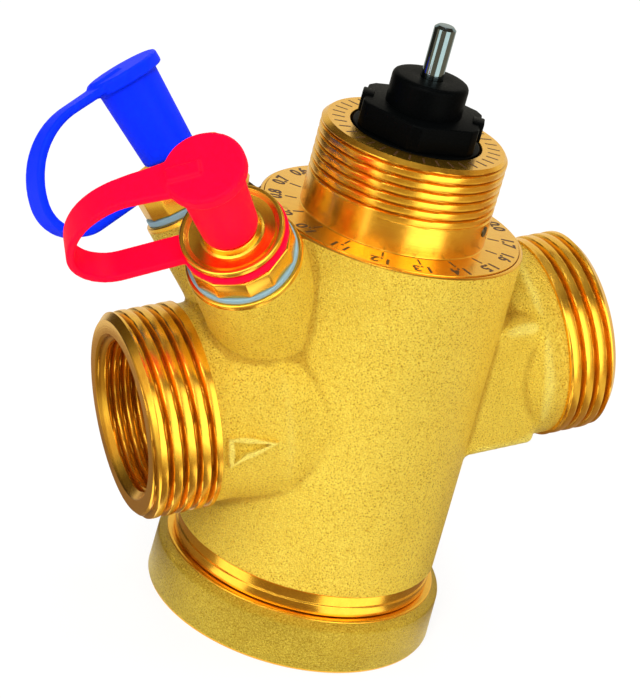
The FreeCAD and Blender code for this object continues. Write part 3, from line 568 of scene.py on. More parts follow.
@dataclass
class ProfilePoint:
    """Point of a profile that is ready to turn, in millimetres."""

    radius: float
    height: float
    thread: Optional[Thread] = None
    limit: Callable[[float, float], float] = field(default=lambda height, radius: radius)

    def radius_at(self, angle: float) -> float:
        """Radius with the thread cut in.

        Args:
            angle: Angle round the axis in radians.

        Returns:
            The radius in millimetres.
        """
        if self.thread is None:
            return self.radius
        return self.limit(self.height, self.thread.radius(self.height, angle))

    def groove_at(self, angle: float) -> float:
        """How deep the thread lies.

        Args:
            angle: Angle round the axis in radians.

        Returns:
            The depth, from 0 on the crest to 1 in the root.
        """
        if self.thread is None:
            return 0.0
        cut = abs(self.thread.radius(self.height, angle) - self.thread.surface)
        return min(cut / self.thread.depth, 1.0)


def rounded(corners: Sequence[Corner], closed: bool = True, steps: int = 4) -> list[ProfilePoint]:
    """Profile with its corners rounded by arcs.

    Args:
        corners: Corners in order.
        closed: Whether the last corner joins the first.
        steps: Divisions of each arc.

    Returns:
        Points of the profile.
    """
    points: list[ProfilePoint] = []
    count = len(corners)
    for index, corner in enumerate(corners):
        here = Vector((corner.radius, corner.height))
        inner = closed or 0 < index < count - 1
        if not corner.rounding or not inner:
            points.append(ProfilePoint(here.x, here.y))
            continue
        before = corners[(index - 1) % count]
        after = corners[(index + 1) % count]
        back = Vector((before.radius, before.height)) - here
        ahead = Vector((after.radius, after.height)) - here
        turn = back.angle(ahead)
        longest = LONGEST_ROUNDING * min(back.length, ahead.length)
        reach = min(corner.rounding / math.tan(turn / 2), longest)
        first = here + back.normalized() * reach
        last = here + ahead.normalized() * reach
        for step in range(steps + 1):
            share = step / steps
            curve = first.lerp(here, share).lerp(here.lerp(last, share), share)
            points.append(ProfilePoint(curve.x, curve.y))
    return points


def turned_mesh(
    name: str,
    points: Sequence[ProfilePoint],
    closed: bool = True,
    segments: int = ROUND,
    place: Matrix = UPRIGHT,
) -> bpy.types.Mesh:
    """Turn a profile about the local Z axis.

    Args:
        name: Mesh's name.
        points: Profile in millimetres. An open one starts and ends on the axis.
        closed: Whether the last point joins the first.
        segments: Divisions round the axis.
        place: Where the local frame stands, in metres.

    Returns:
        The mesh, in metres.
    """
    shape = bmesh.new()
    along = shape.verts.layers.float.new(TURN_ATTRIBUTE)
    relief = shape.verts.layers.float.new(RELIEF_ATTRIBUTE)
    rings = []
    travelled = 0.0
    for index, point in enumerate(points):
        if index:
            before = points[index - 1]
            travelled += math.hypot(point.radius - before.radius, point.height - before.height)
        on_axis = point.radius < 1e-6
        ring = []
        for step in range(1 if on_axis else segments):
            angle = math.tau * step / segments
            radius = point.radius_at(angle)
            spot = (radius * math.cos(angle), radius * math.sin(angle), point.height)
            vertex = shape.verts.new([part * MM for part in spot])
            vertex[along] = travelled
            # A thread's grooves get negative relief, which the finish paints as shade.
            vertex[relief] = -point.groove_at(angle)
            ring.append(vertex)
        rings.append(ring)
    skin(shape, rings, closed)
    return finished_mesh(name, shape, place, TURNED_SHARP)


def lathe(
    name: str,
    corners: Sequence[Corner],
    closed: bool = True,
    segments: int = ROUND,
    place: Matrix = UPRIGHT,
) -> bpy.types.Mesh:
    """Turn a profile of rounded corners.

    Args:
        name: Mesh's name.
        corners: Corners in order. An open profile starts and ends on the axis.
        closed: Whether the last corner joins the first.
        segments: Divisions round the axis.
        place: Where the local frame stands, in metres.

    Returns:
        The mesh, in metres.
    """
    return turned_mesh(name, rounded(corners, closed), closed, segments, place)


def box_mesh(
    name: str, low: Spot, high: Spot, place: Matrix, edge: float = 0.0, steps: int = 2
) -> bpy.types.Mesh:
    """Box with rounded edges.

    Args:
        name: Mesh's name.
        low: Lowest corner in millimetres.
        high: Highest corner in millimetres.
        place: Where the local frame stands, in metres.
        edge: Edge rounding in millimetres, or 0.
        steps: Divisions of a rounded edge.

    Returns:
        The mesh, in metres.
    """
    shape = bmesh.new()
    bmesh.ops.create_cube(shape, size=1.0)
    for vertex in shape.verts:
        for axis in range(3):
            vertex.co[axis] = (high if vertex.co[axis] > 0 else low)[axis] * MM
    if edge:
        soften_edges(shape, edge, steps)
    return finished_mesh(name, shape, place, MOULDED_SHARP)


def soften_edges(shape: bmesh.types.BMesh, edge: float, steps: int) -> None:
    """Round all edges of a shape, by a width in millimetres."""
    edges = list(shape.edges)
    bmesh.ops.bevel(shape, geom=edges, offset=edge * MM, segments=steps, profile=0.5, affect="EDGES")


def skin(shape: bmesh.types.BMesh, rings: Sequence[Sequence[bmesh.types.BMVert]], looped: bool) -> None:
    """Lay faces over rings of points that follow each other.

    Args:
        shape: Mesh that holds the points.
        rings: Rings with the same number of points, or with one point where they meet the axis.
        looped: Whether the last ring joins the first. Otherwise both ends are closed.
    """
    pairs = list(zip(rings, rings[1:]))
    if looped:
        pairs.append((rings[-1], rings[0]))
    count = max(len(ring) for ring in rings)
    for low, high in pairs:
        for step in range(count):
            following = (step + 1) % count
            corners = [low[step % len(low)], low[following % len(low)]]
            corners += [high[following % len(high)], high[step % len(high)]]
            unique = list(dict.fromkeys(corners))
            if len(unique) > 2:
                shape.faces.new(unique)
    for ring in (rings[0], list(reversed(rings[-1]))):
        if not looped and len(ring) > 2:
            shape.faces.new(ring)
    bmesh.ops.recalc_face_normals(shape, faces=shape.faces)


def finished_mesh(
    name: str, shape: bmesh.types.BMesh, place: Matrix, sharp_degrees: float
) -> bpy.types.Mesh:
    """Turn a bmesh into a smooth-shaded mesh with crisp edges, and free the bmesh.

    Args:
        name: Mesh's name.
        shape: Bmesh to use up.
        place: Where its local frame stands, in metres.
        sharp_degrees: Edges sharper than this stay crisp.

    Returns:
        The mesh, in metres.
    """
    shape.transform(place)
    mesh = bpy.data.meshes.new(name)
    shape.to_mesh(mesh)
    shape.free()
    mesh.shade_smooth()
    mesh.set_sharp_from_angle(angle=math.radians(sharp_degrees))
    return mesh


def joined_mesh(name: str, meshes: Iterable[bpy.types.Mesh]) -> bpy.types.Mesh:
    """Put several meshes into one.

    Args:
        name: Name of the joined mesh.
        meshes: Meshes to join, which are removed.

    Returns:
        The joined mesh.
    """
    shape = bmesh.new()
    for mesh in meshes:
        shape.from_mesh(mesh)
        bpy.data.meshes.remove(mesh)
    mesh = bpy.data.meshes.new(name)
    shape.to_mesh(mesh)
    shape.free()
    return mesh


def hexagon_mesh(
    name: str, flats: float, foot: float, top: float, edge: float, place: Matrix, corner_radius: float = 0.0
) -> bpy.types.Mesh:
    """Hexagonal prism with broken edges.

    Args:
        name: Mesh's name.
        flats: Distance across the flats in millimetres.
        foot: Lower height in millimetres.
        top: Upper height in millimetres.
        edge: Edge rounding in millimetres.
        place: Where the local frame stands, in metres.
        corner_radius: Radius at which the corners are cut off, or 0.

    Returns:
        The mesh, in metres.
    """
    outline = []
    reach = flats / math.sqrt(3.0)
    half = 0.0
    if corner_radius:
        half = math.pi / 6 - math.acos(flats / 2 / corner_radius)
    for index in range(6):
        middle = index * math.pi / 3
        if corner_radius:
            outline += [(corner_radius, middle - half), (corner_radius, middle + half)]
        else:
            outline.append((reach, middle))
    shape = bmesh.new()
    low = []
    high = []
    for radius, angle in outline:
        across = radius * math.cos(angle) * MM
        depth = radius * math.sin(angle) * MM
        low.append(shape.verts.new((across, depth, foot * MM)))
        high.append(shape.verts.new((across, depth, top * MM)))
    skin(shape, [low, high], looped=False)
    soften_edges(shape, edge, 3)
    return finished_mesh(name, shape, place, TURNED_SHARP)


def settled_mesh(item: bpy.types.Object) -> bpy.types.Mesh:
    """Mesh of an object as its modifiers or its curve make it.

    Args:
        item: The object, which is removed.

    Returns:
        The mesh.
    """
    bpy.context.view_layer.update()
    seen = item.evaluated_get(bpy.context.evaluated_depsgraph_get())
    mesh = bpy.data.meshes.new_from_object(seen)
    bpy.data.objects.remove(item)
    return mesh


def fuse_by_voxels(mesh: bpy.types.Mesh, voxel: float, smoothing: int) -> bpy.types.Mesh:
    """Melt overlapping closed shells into one soft-edged skin.

    Args:
        mesh: Mesh of the shells, which is removed.
        voxel: Size of the skin's squares in millimetres.
        smoothing: Passes that soften the joins.

    Returns:
        The fused mesh.
    """
    item = placed("fusing", mesh)
    remesh = item.modifiers.new("melt", "REMESH")
    remesh.mode = "VOXEL"
    remesh.voxel_size = voxel * MM
    soften = item.modifiers.new("soften", "SMOOTH")
    soften.factor = 0.5
    soften.iterations = smoothing
    name = mesh.name
    fused = settled_mesh(item)
    bpy.data.meshes.remove(mesh)
    fused.name = name
    fused.shade_smooth()
    return fused


def mark_relief(mesh: bpy.types.Mesh, passes: int, reach: float) -> None:
    """Store how far each point stands above or below its smoothed surroundings, which finishes paint as
    shade in hollows and as edge wear with a highlight on edges.

    Args:
        mesh: Mesh that gets the relief attribute, from -1 in hollows to 1 on edges.
        passes: Smoothing passes that the surroundings get.
        reach: Height that counts as 1, in millimetres.
    """
    count = len(mesh.vertices)
    spots = np.empty(count * 3)
    mesh.vertices.foreach_get("co", spots)
    spots = spots.reshape(-1, 3)
    normals = np.empty(count * 3)
    mesh.vertices.foreach_get("normal", normals)
    edges = np.empty(len(mesh.edges) * 2, dtype=np.int64)
    mesh.edges.foreach_get("vertices", edges)
    first, second = edges.reshape(-1, 2).T
    share = np.maximum(np.bincount(edges, minlength=count), 1)
    smooth = spots.copy()
    for _ in range(passes):
        for axis in range(3):
            line = smooth[:, axis]
            around = np.bincount(first, line[second], count) + np.bincount(second, line[first], count)
            smooth[:, axis] = (line + around / share) / 2
    rise = ((spots - smooth) * normals.reshape(-1, 3)).sum(axis=1) / (reach * MM)
    relief = mesh.attributes.new(RELIEF_ATTRIBUTE, "FLOAT", "POINT")
    relief.data.foreach_set("value", np.clip(rise, -1.0, 1.0))


@dataclass(frozen=True)
class PipeFrame:
    """Frame of the inclined pipe axis: height in millimetres and climb in degrees."""

    height: float = 42.4
    climb: float = 14.5

    def place(self, towards_outlet: bool) -> Matrix:
        """Matrix whose Z axis follows the pipe to one end.

        Args:
            towards_outlet: Which end it is.

        Returns:
            The frame's matrix, in metres.
        """
        turn = math.radians(90.0 - self.climb)
        angle = turn if towards_outlet else turn - math.pi
        return Matrix.Translation((0, 0, self.height * MM)) @ Matrix.Rotation(angle, 4, "Y")


@dataclass(frozen=True)
class TestFrame:
    """Frame of one test point's axis, with angles in degrees and lengths in millimetres."""

    side: Side
    azimuth: float = 148.44
    climb: float = 46.61
    offset: float = 7.55
    height: float = 30.11

    def place(self, swing: float = 0.0) -> Matrix:
        """Matrix whose Z axis leaves the test point and whose X axis hangs down, swung to the side.

        Args:
            swing: Angle of the swing in degrees.

        Returns:
            The frame's matrix, in metres.
        """
        around = math.radians(self.azimuth) * self.side.value
        climb = math.radians(self.climb)
        flat = math.cos(climb)
        outward = Vector((math.cos(around) * flat, math.sin(around) * flat, math.sin(climb)))
        down = Vector((0, 0, -1))
        across = (down - outward * outward.dot(down)).normalized()
        third = outward.cross(across)
        level = Matrix((across, third, outward)).transposed().to_4x4()
        origin = Vector((0, -self.side.value * self.offset, self.height)) * MM
        turn = Matrix.Rotation(math.radians(swing) * self.side.value, 4, "Z")
        return Matrix.Translation(origin) @ level @ turn


def trim(shape: bmesh.types.BMesh, place: Matrix, height: float, reach: float, start: float) -> None:
    """Cut a skin off square, beyond a height along a local Z axis, near that axis only.

    Args:
        shape: Skin to cut.
        place: Local frame, in metres.
        height: Where to cut, in millimetres.
        reach: How far from the axis the cut goes, in millimetres.
        start: Only what lies beyond this height is touched, in millimetres.
    """
    back = place.inverted()

    def near(face: bmesh.types.BMFace) -> bool:
        """Whether a face lies where the cut goes."""
        middle = back @ face.calc_center_median()
        return math.hypot(middle.x, middle.y) < reach * MM and middle.z > start * MM

    faces = [face for face in shape.faces if near(face)]
    edges = list({edge for face in faces for edge in face.edges})
    corners = list({vertex for face in faces for vertex in face.verts})
    bmesh.ops.bisect_plane(
        shape,
        geom=faces + edges + corners,
        plane_co=place @ Vector((0, 0, height * MM)),
        plane_no=(place.to_3x3() @ Vector((0, 0, 1))),
        clear_outer=True,
    )


@dataclass(frozen=True)
class PipeEnd:
    """Turned pipe end, with places along the pipe from its middle. Sizes in millimetres.

    start is where the outer thread meets the cast neck, and port is the radius behind the bore.
    """

    name: str
    towards_outlet: bool
    start: float
    face: float
    bore_end: float
    port: float
    port_end: float


@dataclass
class ValveBody:
    """Cast body with its turned pipe ends, band and lip. Sizes in millimetres."""

    pipe: PipeFrame = PipeFrame()
    barrel_foot: float = 22.0
    barrel_top: float = 21.4
    band_foot: float = 9.0
    cast_foot: float = 13.1
    top: float = 69.6
    bore: float = 12.06
    thread_major: float = 16.62
    inlet: PipeEnd = PipeEnd(
        "inlet_end", False, start=28.0, face=39.0, bore_end=24.0, port=10.5, port_end=16.3
    )
    outlet: PipeEnd = PipeEnd(
        "outlet_end", True, start=31.6, face=40.4, bore_end=27.0, port=10.0, port_end=14.0
    )
    inlet_neck: Sequence[Corner] = (
        Corner(0, 6), Corner(18.6, 6), Corner(18.6, 17.5), Corner(16.0, 24.5), Corner(16.0, 32),
        Corner(0, 32),
    )
    outlet_neck: Sequence[Corner] = (
        Corner(0, 6), Corner(12.6, 6), Corner(12.6, 24.2), Corner(16.1, 28.0), Corner(16.1, 35),
        Corner(0, 35),
    )
    boss: Sequence[Corner] = (
        Corner(0, 16), Corner(11.2, 16), Corner(9.3, 38), Corner(9.0, 53), Corner(0, 53),
    )
    boss_end: float = 49.25
    barrel_reach: float = 24.0
    neck_reach: float = 18.0
    boss_reach: float = 11.0
    thread_depth: float = 1.1
    thread_pitch: float = 2.309
    inner_depth: float = 0.9
    inner_pitch: float = 1.814
    inner_length: float = 10.5
    thread_samples: int = 22
    inner_samples: int = 16
    chamfer: float = 1.15
    lead_in: float = 1.3
    end_inside: float = 12.7
    end_root: float = 15.1
    run_out: float = 15.3
    face_outside: float = 15.2
    face_inside: float = 13.5
    end_round: int = 180
    voxel: float = 0.46
    softening: int = 4
    relief_passes: int = 36
    relief_reach: float = 0.3
    block_low: Spot = (-10.3, -13.5, 8.0)
    block_high: Spot = (12.3, 13.5, 27.6)
    block_edge: float = 1.2
    arrow_corners: Sequence[Point] = ((-26.6, 2.3), (-20.1, 1.2), (-26.6, -2.1))
    arrow_radius: float = 16.0
    arrow_ridge: float = 0.6
    arrow_rise: float = 0.8
    arrow_sink: float = -0.5
    arrow_steps: int = 14
    arrow_flare: float = 0.37
    arrow_flare_start: float = -24.5
    # The arrow's crest is painted as edge wear with a highlight, and its foot as shade.
    crest_wear_and_highlight: float = 0.9
    foot_shade: float = -0.7

    def build(self, shop: Workshop) -> None:
        """Build and dress the body's pieces.

        Args:
            shop: Workshop that dresses them.
        """
        shop.piece(
            "body_casting", self.casting(), CAST_BRASS, Body.HOUSING, ["valve_body"]
        )
        shop.turned_brass("body_band", self.band())
        shop.turned_brass("body_lip", self.lip())
        for end in (self.inlet, self.outlet):
            shop.turned_brass(end.name, self.pipe_end(end))
        shop.piece("flow_arrow", self.arrow(), CAST_BRASS, Body.HOUSING)

    def casting(self) -> bpy.types.Mesh:
        """Cast skin: barrel, necks, block and bosses melted together, cut off square at the machined ends.

        Returns:
            The mesh, in metres, with its relief marked.
        """
        shells = [
            lathe("barrel", [
                Corner(0, 9), Corner(self.barrel_foot, 9), Corner(self.barrel_foot, self.cast_foot),
                Corner(self.barrel_top, self.top), Corner(self.barrel_top, 73), Corner(0, 73),
            ], closed=False),
            lathe("inlet", self.inlet_neck, closed=False, place=self.pipe.place(False)),
            lathe("outlet", self.outlet_neck, closed=False, place=self.pipe.place(True)),
            self.block(),
        ]
        for side in Side:
            shells.append(lathe("boss", self.boss, closed=False, place=TestFrame(side).place()))
        fused = fuse_by_voxels(joined_mesh("body_casting", shells), self.voxel, self.softening)
        shape = bmesh.new()
        shape.from_mesh(fused)
        bpy.data.meshes.remove(fused)
        upside_down = Matrix.Rotation(math.pi, 4, "X")
        trim(shape, UPRIGHT, self.top - 0.2, self.barrel_reach, start=60.0)
        trim(shape, upside_down, -self.cast_foot, self.barrel_reach, start=-20.0)
        trim(shape, self.pipe.place(False), self.inlet.start, self.neck_reach, start=22.0)
        trim(shape, self.pipe.place(True), self.outlet.start, self.neck_reach, start=29.0)
        for side in Side:
            trim(shape, TestFrame(side).place(), self.boss_end, self.boss_reach, start=44.0)
        casting = finished_mesh("body_casting", shape, UPRIGHT, MOULDED_SHARP)
        mark_relief(casting, self.relief_passes, self.relief_reach)
        return casting

    def block(self) -> bpy.types.Mesh:
        """Flat-sided block under the outlet."""
        place = self.pipe.place(True)
        return box_mesh("block", self.block_low, self.block_high, place, self.block_edge, 3)

    def band(self) -> bpy.types.Mesh:
        """Turned band between the casting and the bottom cap."""
        return lathe("body_band", [
            Corner(18.0, self.band_foot + 0.15), Corner(21.75, self.band_foot + 0.15, 0.2),
            Corner(21.75, 10.9, 0.15), Corner(21.5, 11.1, 0.1), Corner(21.5, 12.7, 0.2),
            Corner(21.85, self.cast_foot, 0.05), Corner(18.0, self.cast_foot),
        ], segments=LARGE_ROUND)

    def lip(self) -> bpy.types.Mesh:
        """Turned lip round the scale flange."""
        return lathe("body_lip", [
            Corner(17.4, 67.5), Corner(21.35, 67.5), Corner(21.38, 69.4, 0.1), Corner(21.1, self.top, 0.08),
            Corner(20.82, self.top, 0.05), Corner(20.82, 68.4), Corner(17.4, 68.4),
        ], segments=LARGE_ROUND)

    def pipe_end(self, end: PipeEnd) -> bpy.types.Mesh:
        """Turned pipe end with its outer thread, face, lead-in, inner thread and port.

        Args:
            end: Which end it is, and its sizes.

        Returns:
            The mesh, in metres.
        """
        face = end.face

        def outer_limit(height: float, radius: float) -> float:
            """Keep the outer thread behind the chamfer."""
            return min(radius, self.thread_major - self.chamfer + max(face - height, 0.0) * 1.05)

        def inner_limit(height: float, radius: float) -> float:
            """Keep the inner thread behind the lead-in."""
            return max(radius, self.bore + self.lead_in - max(face - height, 0.0))

        tip = face - 0.02
        outer = Thread(
            self.thread_major, self.thread_depth, self.thread_pitch, end.start, tip,
            crest_share=0.52, fade=0.9,
        )
        inner = Thread(
            self.bore, self.inner_depth, self.inner_pitch, face - self.inner_length, tip,
            inside=True, crest_share=0.3, fade=1.2,
        )
        root = end.start - 0.4
        points = [
            ProfilePoint(self.end_inside, root), ProfilePoint(self.end_root, root),
            ProfilePoint(self.run_out, end.start),
        ]
        for height in outer.heights(self.thread_samples):
            points.append(ProfilePoint(self.thread_major, height, outer, outer_limit))
        points += [ProfilePoint(self.face_outside, face), ProfilePoint(self.face_inside, face)]
        for height in reversed(inner.heights(self.inner_samples)):
            points.append(ProfilePoint(self.bore, height, inner, inner_limit))
        points += rounded([
            Corner(self.bore, face - self.inner_length - 0.1), Corner(self.bore, end.bore_end, 0.4),
            Corner(end.port, end.bore_end - 0.6, 0.3), Corner(end.port, end.port_end, 0.5),
            Corner(self.end_inside, end.port_end),
        ], closed=False)
        place = self.pipe.place(end.towards_outlet)
        return turned_mesh(end.name, points, segments=self.end_round, place=place)

    def arrow(self) -> bpy.types.Mesh:
        """Raised outline of a triangle on the inlet neck that points along the flow.

        Returns:
            The mesh, in metres.
        """
        corners = [Vector(corner) for corner in self.arrow_corners]
        middle = sum(corners, Vector((0, 0))) / len(corners)
        foot, crest = self.arrow_ridge * 1.5, self.arrow_ridge * 0.7
        sink, rise = self.arrow_sink, self.arrow_rise
        section = ((sink, foot), (rise, crest), (rise, -crest), (sink, -foot))
        shape = bmesh.new()
        relief = shape.verts.layers.float.new(RELIEF_ATTRIBUTE)
        rings = []
        for index, corner in enumerate(corners):
            after = corners[(index + 1) % len(corners)]
            for step in range(self.arrow_steps):
                spot = corner.lerp(after, step / self.arrow_steps)
                inward = (middle - spot).normalized()
                ring = []
                for level, shift in section:
                    point = spot + inward * shift
                    angle = point.y / self.arrow_radius
                    flare = max(0.0, (point.x - self.arrow_flare_start) * self.arrow_flare)
                    out = self.arrow_radius + level + flare
                    local = Vector((-out * math.sin(angle), -out * math.cos(angle), point.x)) * MM
                    vertex = shape.verts.new(local)
                    # Crest points get edge wear with a painted highlight, foot points painted shade.
                    vertex[relief] = self.crest_wear_and_highlight if level > 0 else self.foot_shade
                    ring.append(vertex)
                rings.append(ring)
        skin(shape, rings, looped=True)
        return finished_mesh("flow_arrow", shape, self.pipe.place(True), ROUND_SHARP)


@dataclass
class BottomCap:
    """Bottom cap with its cast wall and turned edges. Sizes in millimetres."""

    radius: float = 24.4
    height: float = 9.0

    def build(self, shop: Workshop) -> None:
        """Build and dress the cap's pieces.

        Args:
            shop: Workshop that dresses them.
        """
        wall = lathe("cap_wall", [
            Corner(21.0, 0.5), Corner(self.radius - 0.1, 0.5), Corner(self.radius - 0.3, 7.7, 0.9),
            Corner(22.95, 8.7, 0.3), Corner(22.6, 8.75), Corner(21.0, 8.75),
        ], segments=LARGE_ROUND)
        shop.piece("cap_wall", wall, CAST_CAP_BRASS, Body.HOUSING, ["bottom_cap"])
        foot = lathe("cap_foot", [
            Corner(0, 0), Corner(self.radius - 0.3, 0, 0.35), Corner(self.radius - 0.12, 0.5, 0.1),
            Corner(0, 0.5),
        ], closed=False, segments=LARGE_ROUND)
        shop.turned_brass("cap_foot", foot)
        shoulder = lathe("cap_shoulder", [
            Corner(21.0, 8.5), Corner(22.85, 8.5), Corner(22.8, 8.85, 0.15),
            Corner(22.45, self.height, 0.15), Corner(21.0, self.height),
        ], segments=LARGE_ROUND)
        shop.turned_brass("cap_shoulder", shoulder)


@dataclass
class Bonnet:
    """Turned neck with the actuator thread and the scale. Sizes in millimetres."""

    radius: float = 15.0
    flange: float = 20.7
    flange_top: float = 69.8
    thread_foot: float = 74.6
    top: float = 84.5
    bore: float = 10.6
    thread_depth: float = 0.55
    thread_pitch: float = 1.5
    thread_samples: int = 18
    chamfer: float = 0.75
    numbers: int = 18
    number_size: float = 2.9
    number_radius: float = 18.95
    number_weight: float = 0.08
    number_lift: float = 0.005
    flange_tick: Spot = (15.6, 17.5, 0.17)
    top_tick: Spot = (11.5, 13.5, 0.16)
    top_ticks: int = 36
    engraving: float = 0.02
    engraving_root: float = -0.1

    def build(self, shop: Workshop) -> None:
        """Build and dress the bonnet's pieces."""
        shop.turned_brass("bonnet_neck", self.neck(), ["bonnet"])
        shop.piece("bonnet_scale", self.scale(), ENGRAVING, Body.HOUSING)

    def neck(self) -> bpy.types.Mesh:
        """Neck, flange and bore in one turned piece.

        Returns:
            The mesh, in metres.
        """
        thread = Thread(
            self.radius, self.thread_depth, self.thread_pitch, self.thread_foot, self.top - 0.02, fade=0.6
        )

        def limit(height: float, radius: float) -> float:
            """Keep the thread behind the chamfer."""
            return min(radius, self.radius - self.chamfer + max(self.top - height, 0.0))

        points = rounded([
            Corner(12.6, 59.0), Corner(17.3, 59.0), Corner(17.3, 68.4), Corner(self.flange, 68.4),
            Corner(self.flange, self.flange_top, 0.12), Corner(self.radius, self.flange_top, 0.2),
            Corner(self.radius, self.thread_foot - 0.05),
        ], closed=False)
        for height in thread.heights(self.thread_samples):
            points.append(ProfilePoint(self.radius, height, thread, limit))
        points += rounded([
            Corner(self.radius - self.chamfer, self.top), Corner(self.bore, self.top, 0.15),
            Corner(self.bore, 79.7), Corner(8.05, 79.7), Corner(8.05, 64.7), Corner(12.6, 64.7),
        ], closed=False)
        return turned_mesh("bonnet_neck", points, segments=LARGE_ROUND)

    def scale(self) -> bpy.types.Mesh:
        """Engraved ticks and plain numbers on the flange and on the top of the neck.

        Returns:
            The mesh, in metres.
        """
        marks = []
        for index in range(self.numbers):
            angle = math.tau * index / self.numbers
            marks.append(self.tick(angle, self.flange_top, self.flange_tick))
            marks.append(self.number(f"{index / 10:.1f}", angle))
        for index in range(self.top_ticks):
            marks.append(self.tick(math.tau * index / self.top_ticks, self.top, self.top_tick))
        return joined_mesh("bonnet_scale", marks)

    def tick(self, angle: float, height: float, bar: Spot) -> bpy.types.Mesh:
        """Thin raised bar that shows as an engraved line.

        Args:
            angle: Where it stands round the stem, in radians.
            height: Height of the face that it is on.
            bar: Radius of its inner end, radius of its outer end and half its width.

        Returns:
            The mesh, in metres.
        """
        inner, outer, half_width = bar
        low = (inner, -half_width, height + self.engraving_root)
        high = (outer, half_width, height + self.engraving)
        return box_mesh("tick", low, high, Matrix.Rotation(angle, 4, "Z"))

    def number(self, words: str, angle: float) -> bpy.types.Mesh:
        """Plain number that faces up from the flange, with its foot towards the neck.

        Args:
            words: The number.
            angle: Where it stands round the stem, in radians.

        Returns:
            The mesh, in metres.
        """
        curve = bpy.data.curves.new("number", "FONT")
        curve.body = words
        curve.size = self.number_size * MM
        curve.align_x = "CENTER"
        curve.align_y = "CENTER"
        curve.extrude = self.engraving * MM
        curve.offset = self.number_weight * MM
        mesh = settled_mesh(placed("number", curve))
        bpy.data.curves.remove(curve)
        turn = Matrix.Rotation(angle - math.pi / 2, 4, "Z")
        spot = Vector((0, self.number_radius, self.flange_top + self.number_lift)) * MM
        mesh.transform(turn @ Matrix.Translation(spot))
        return mesh


@dataclass
class Setting:
    """Black dial with its hexagon and hub, and the steel stem. Sizes in millimetres."""

    base: float = 10.2
    base_top: float = 84.6
    hex_top: float = 88.8
    hub: float = 6.1
    hub_top: float = 93.7
    stem_radius: float = 1.75
    stem_top: float = 102.2
    stem_round: int = 64
    hex_flats: float = 18.4
    hex_corner: float = 10.15
    hex_edge: float = 0.3
    lug_angles: Sequence[float] = (-29.0, 151.0)
    lug_low: Spot = (7.9, -1.5, -2.9)
    lug_high: Spot = (9.75, 1.5, 0.35)
    lug_edge: float = 0.25

    def build(self, shop: Workshop) -> None:
        """Build and dress the dial and the stem.

        Args:
            shop: Workshop that dresses them.
        """
        hub = lathe("dial_hub", [
            Corner(5.0, 58.4), Corner(5.5, 58.4), Corner(5.5, 62.4), Corner(8.0, 62.4), Corner(8.0, 79.8),
            Corner(self.base, 79.8), Corner(self.base, self.base_top, 0.3), Corner(self.hub, self.base_top),
            Corner(self.hub, self.hub_top, 0.9), Corner(1.82, self.hub_top, 0.12), Corner(1.82, 86.2),
            Corner(5.0, 86.2),
        ], segments=SMALL_ROUND)
        hexagon = hexagon_mesh(
            "dial_hexagon", self.hex_flats, self.base_top - 0.05, self.hex_top, self.hex_edge,
            UPRIGHT, self.hex_corner,
        )
        lugs = [self.lug(angle) for angle in self.lug_angles]
        dial = joined_mesh("dial_moulding", [hub, hexagon, *lugs])
        shop.piece("dial_moulding", dial, BLACK_PLASTIC, Body.DIAL, ["setting_dial"])
        stem = lathe("stem_pin", [
            Corner(0, 49.7), Corner(self.stem_radius, 49.7),
            Corner(self.stem_radius, self.stem_top - 0.45, 0.2),
            Corner(self.stem_radius - 0.5, self.stem_top, 0.15), Corner(0, self.stem_top),
        ], closed=False, segments=self.stem_round)
        shop.piece("stem_pin", stem, BRIGHT_STEEL, Body.STEM, ["stem"])

    def lug(self, degrees: float) -> bpy.types.Mesh:
        """Small lug on a flat of the hexagon, at an angle round the stem."""
        turn = Matrix.Rotation(math.radians(degrees), 4, "Z") @ Matrix.Translation((0, 0, self.hex_top * MM))
        return box_mesh("lug", self.lug_low, self.lug_high, turn, self.lug_edge)


CAP_LOOKS: dict[Side, tuple[Finish, Body, Slot]] = {
    Side.RED: (RED_PLASTIC, Body.RED_CAP, Slot.RED_PLASTIC),
    Side.BLUE: (BLUE_PLASTIC, Body.BLUE_CAP, Slot.BLUE_PLASTIC),
}


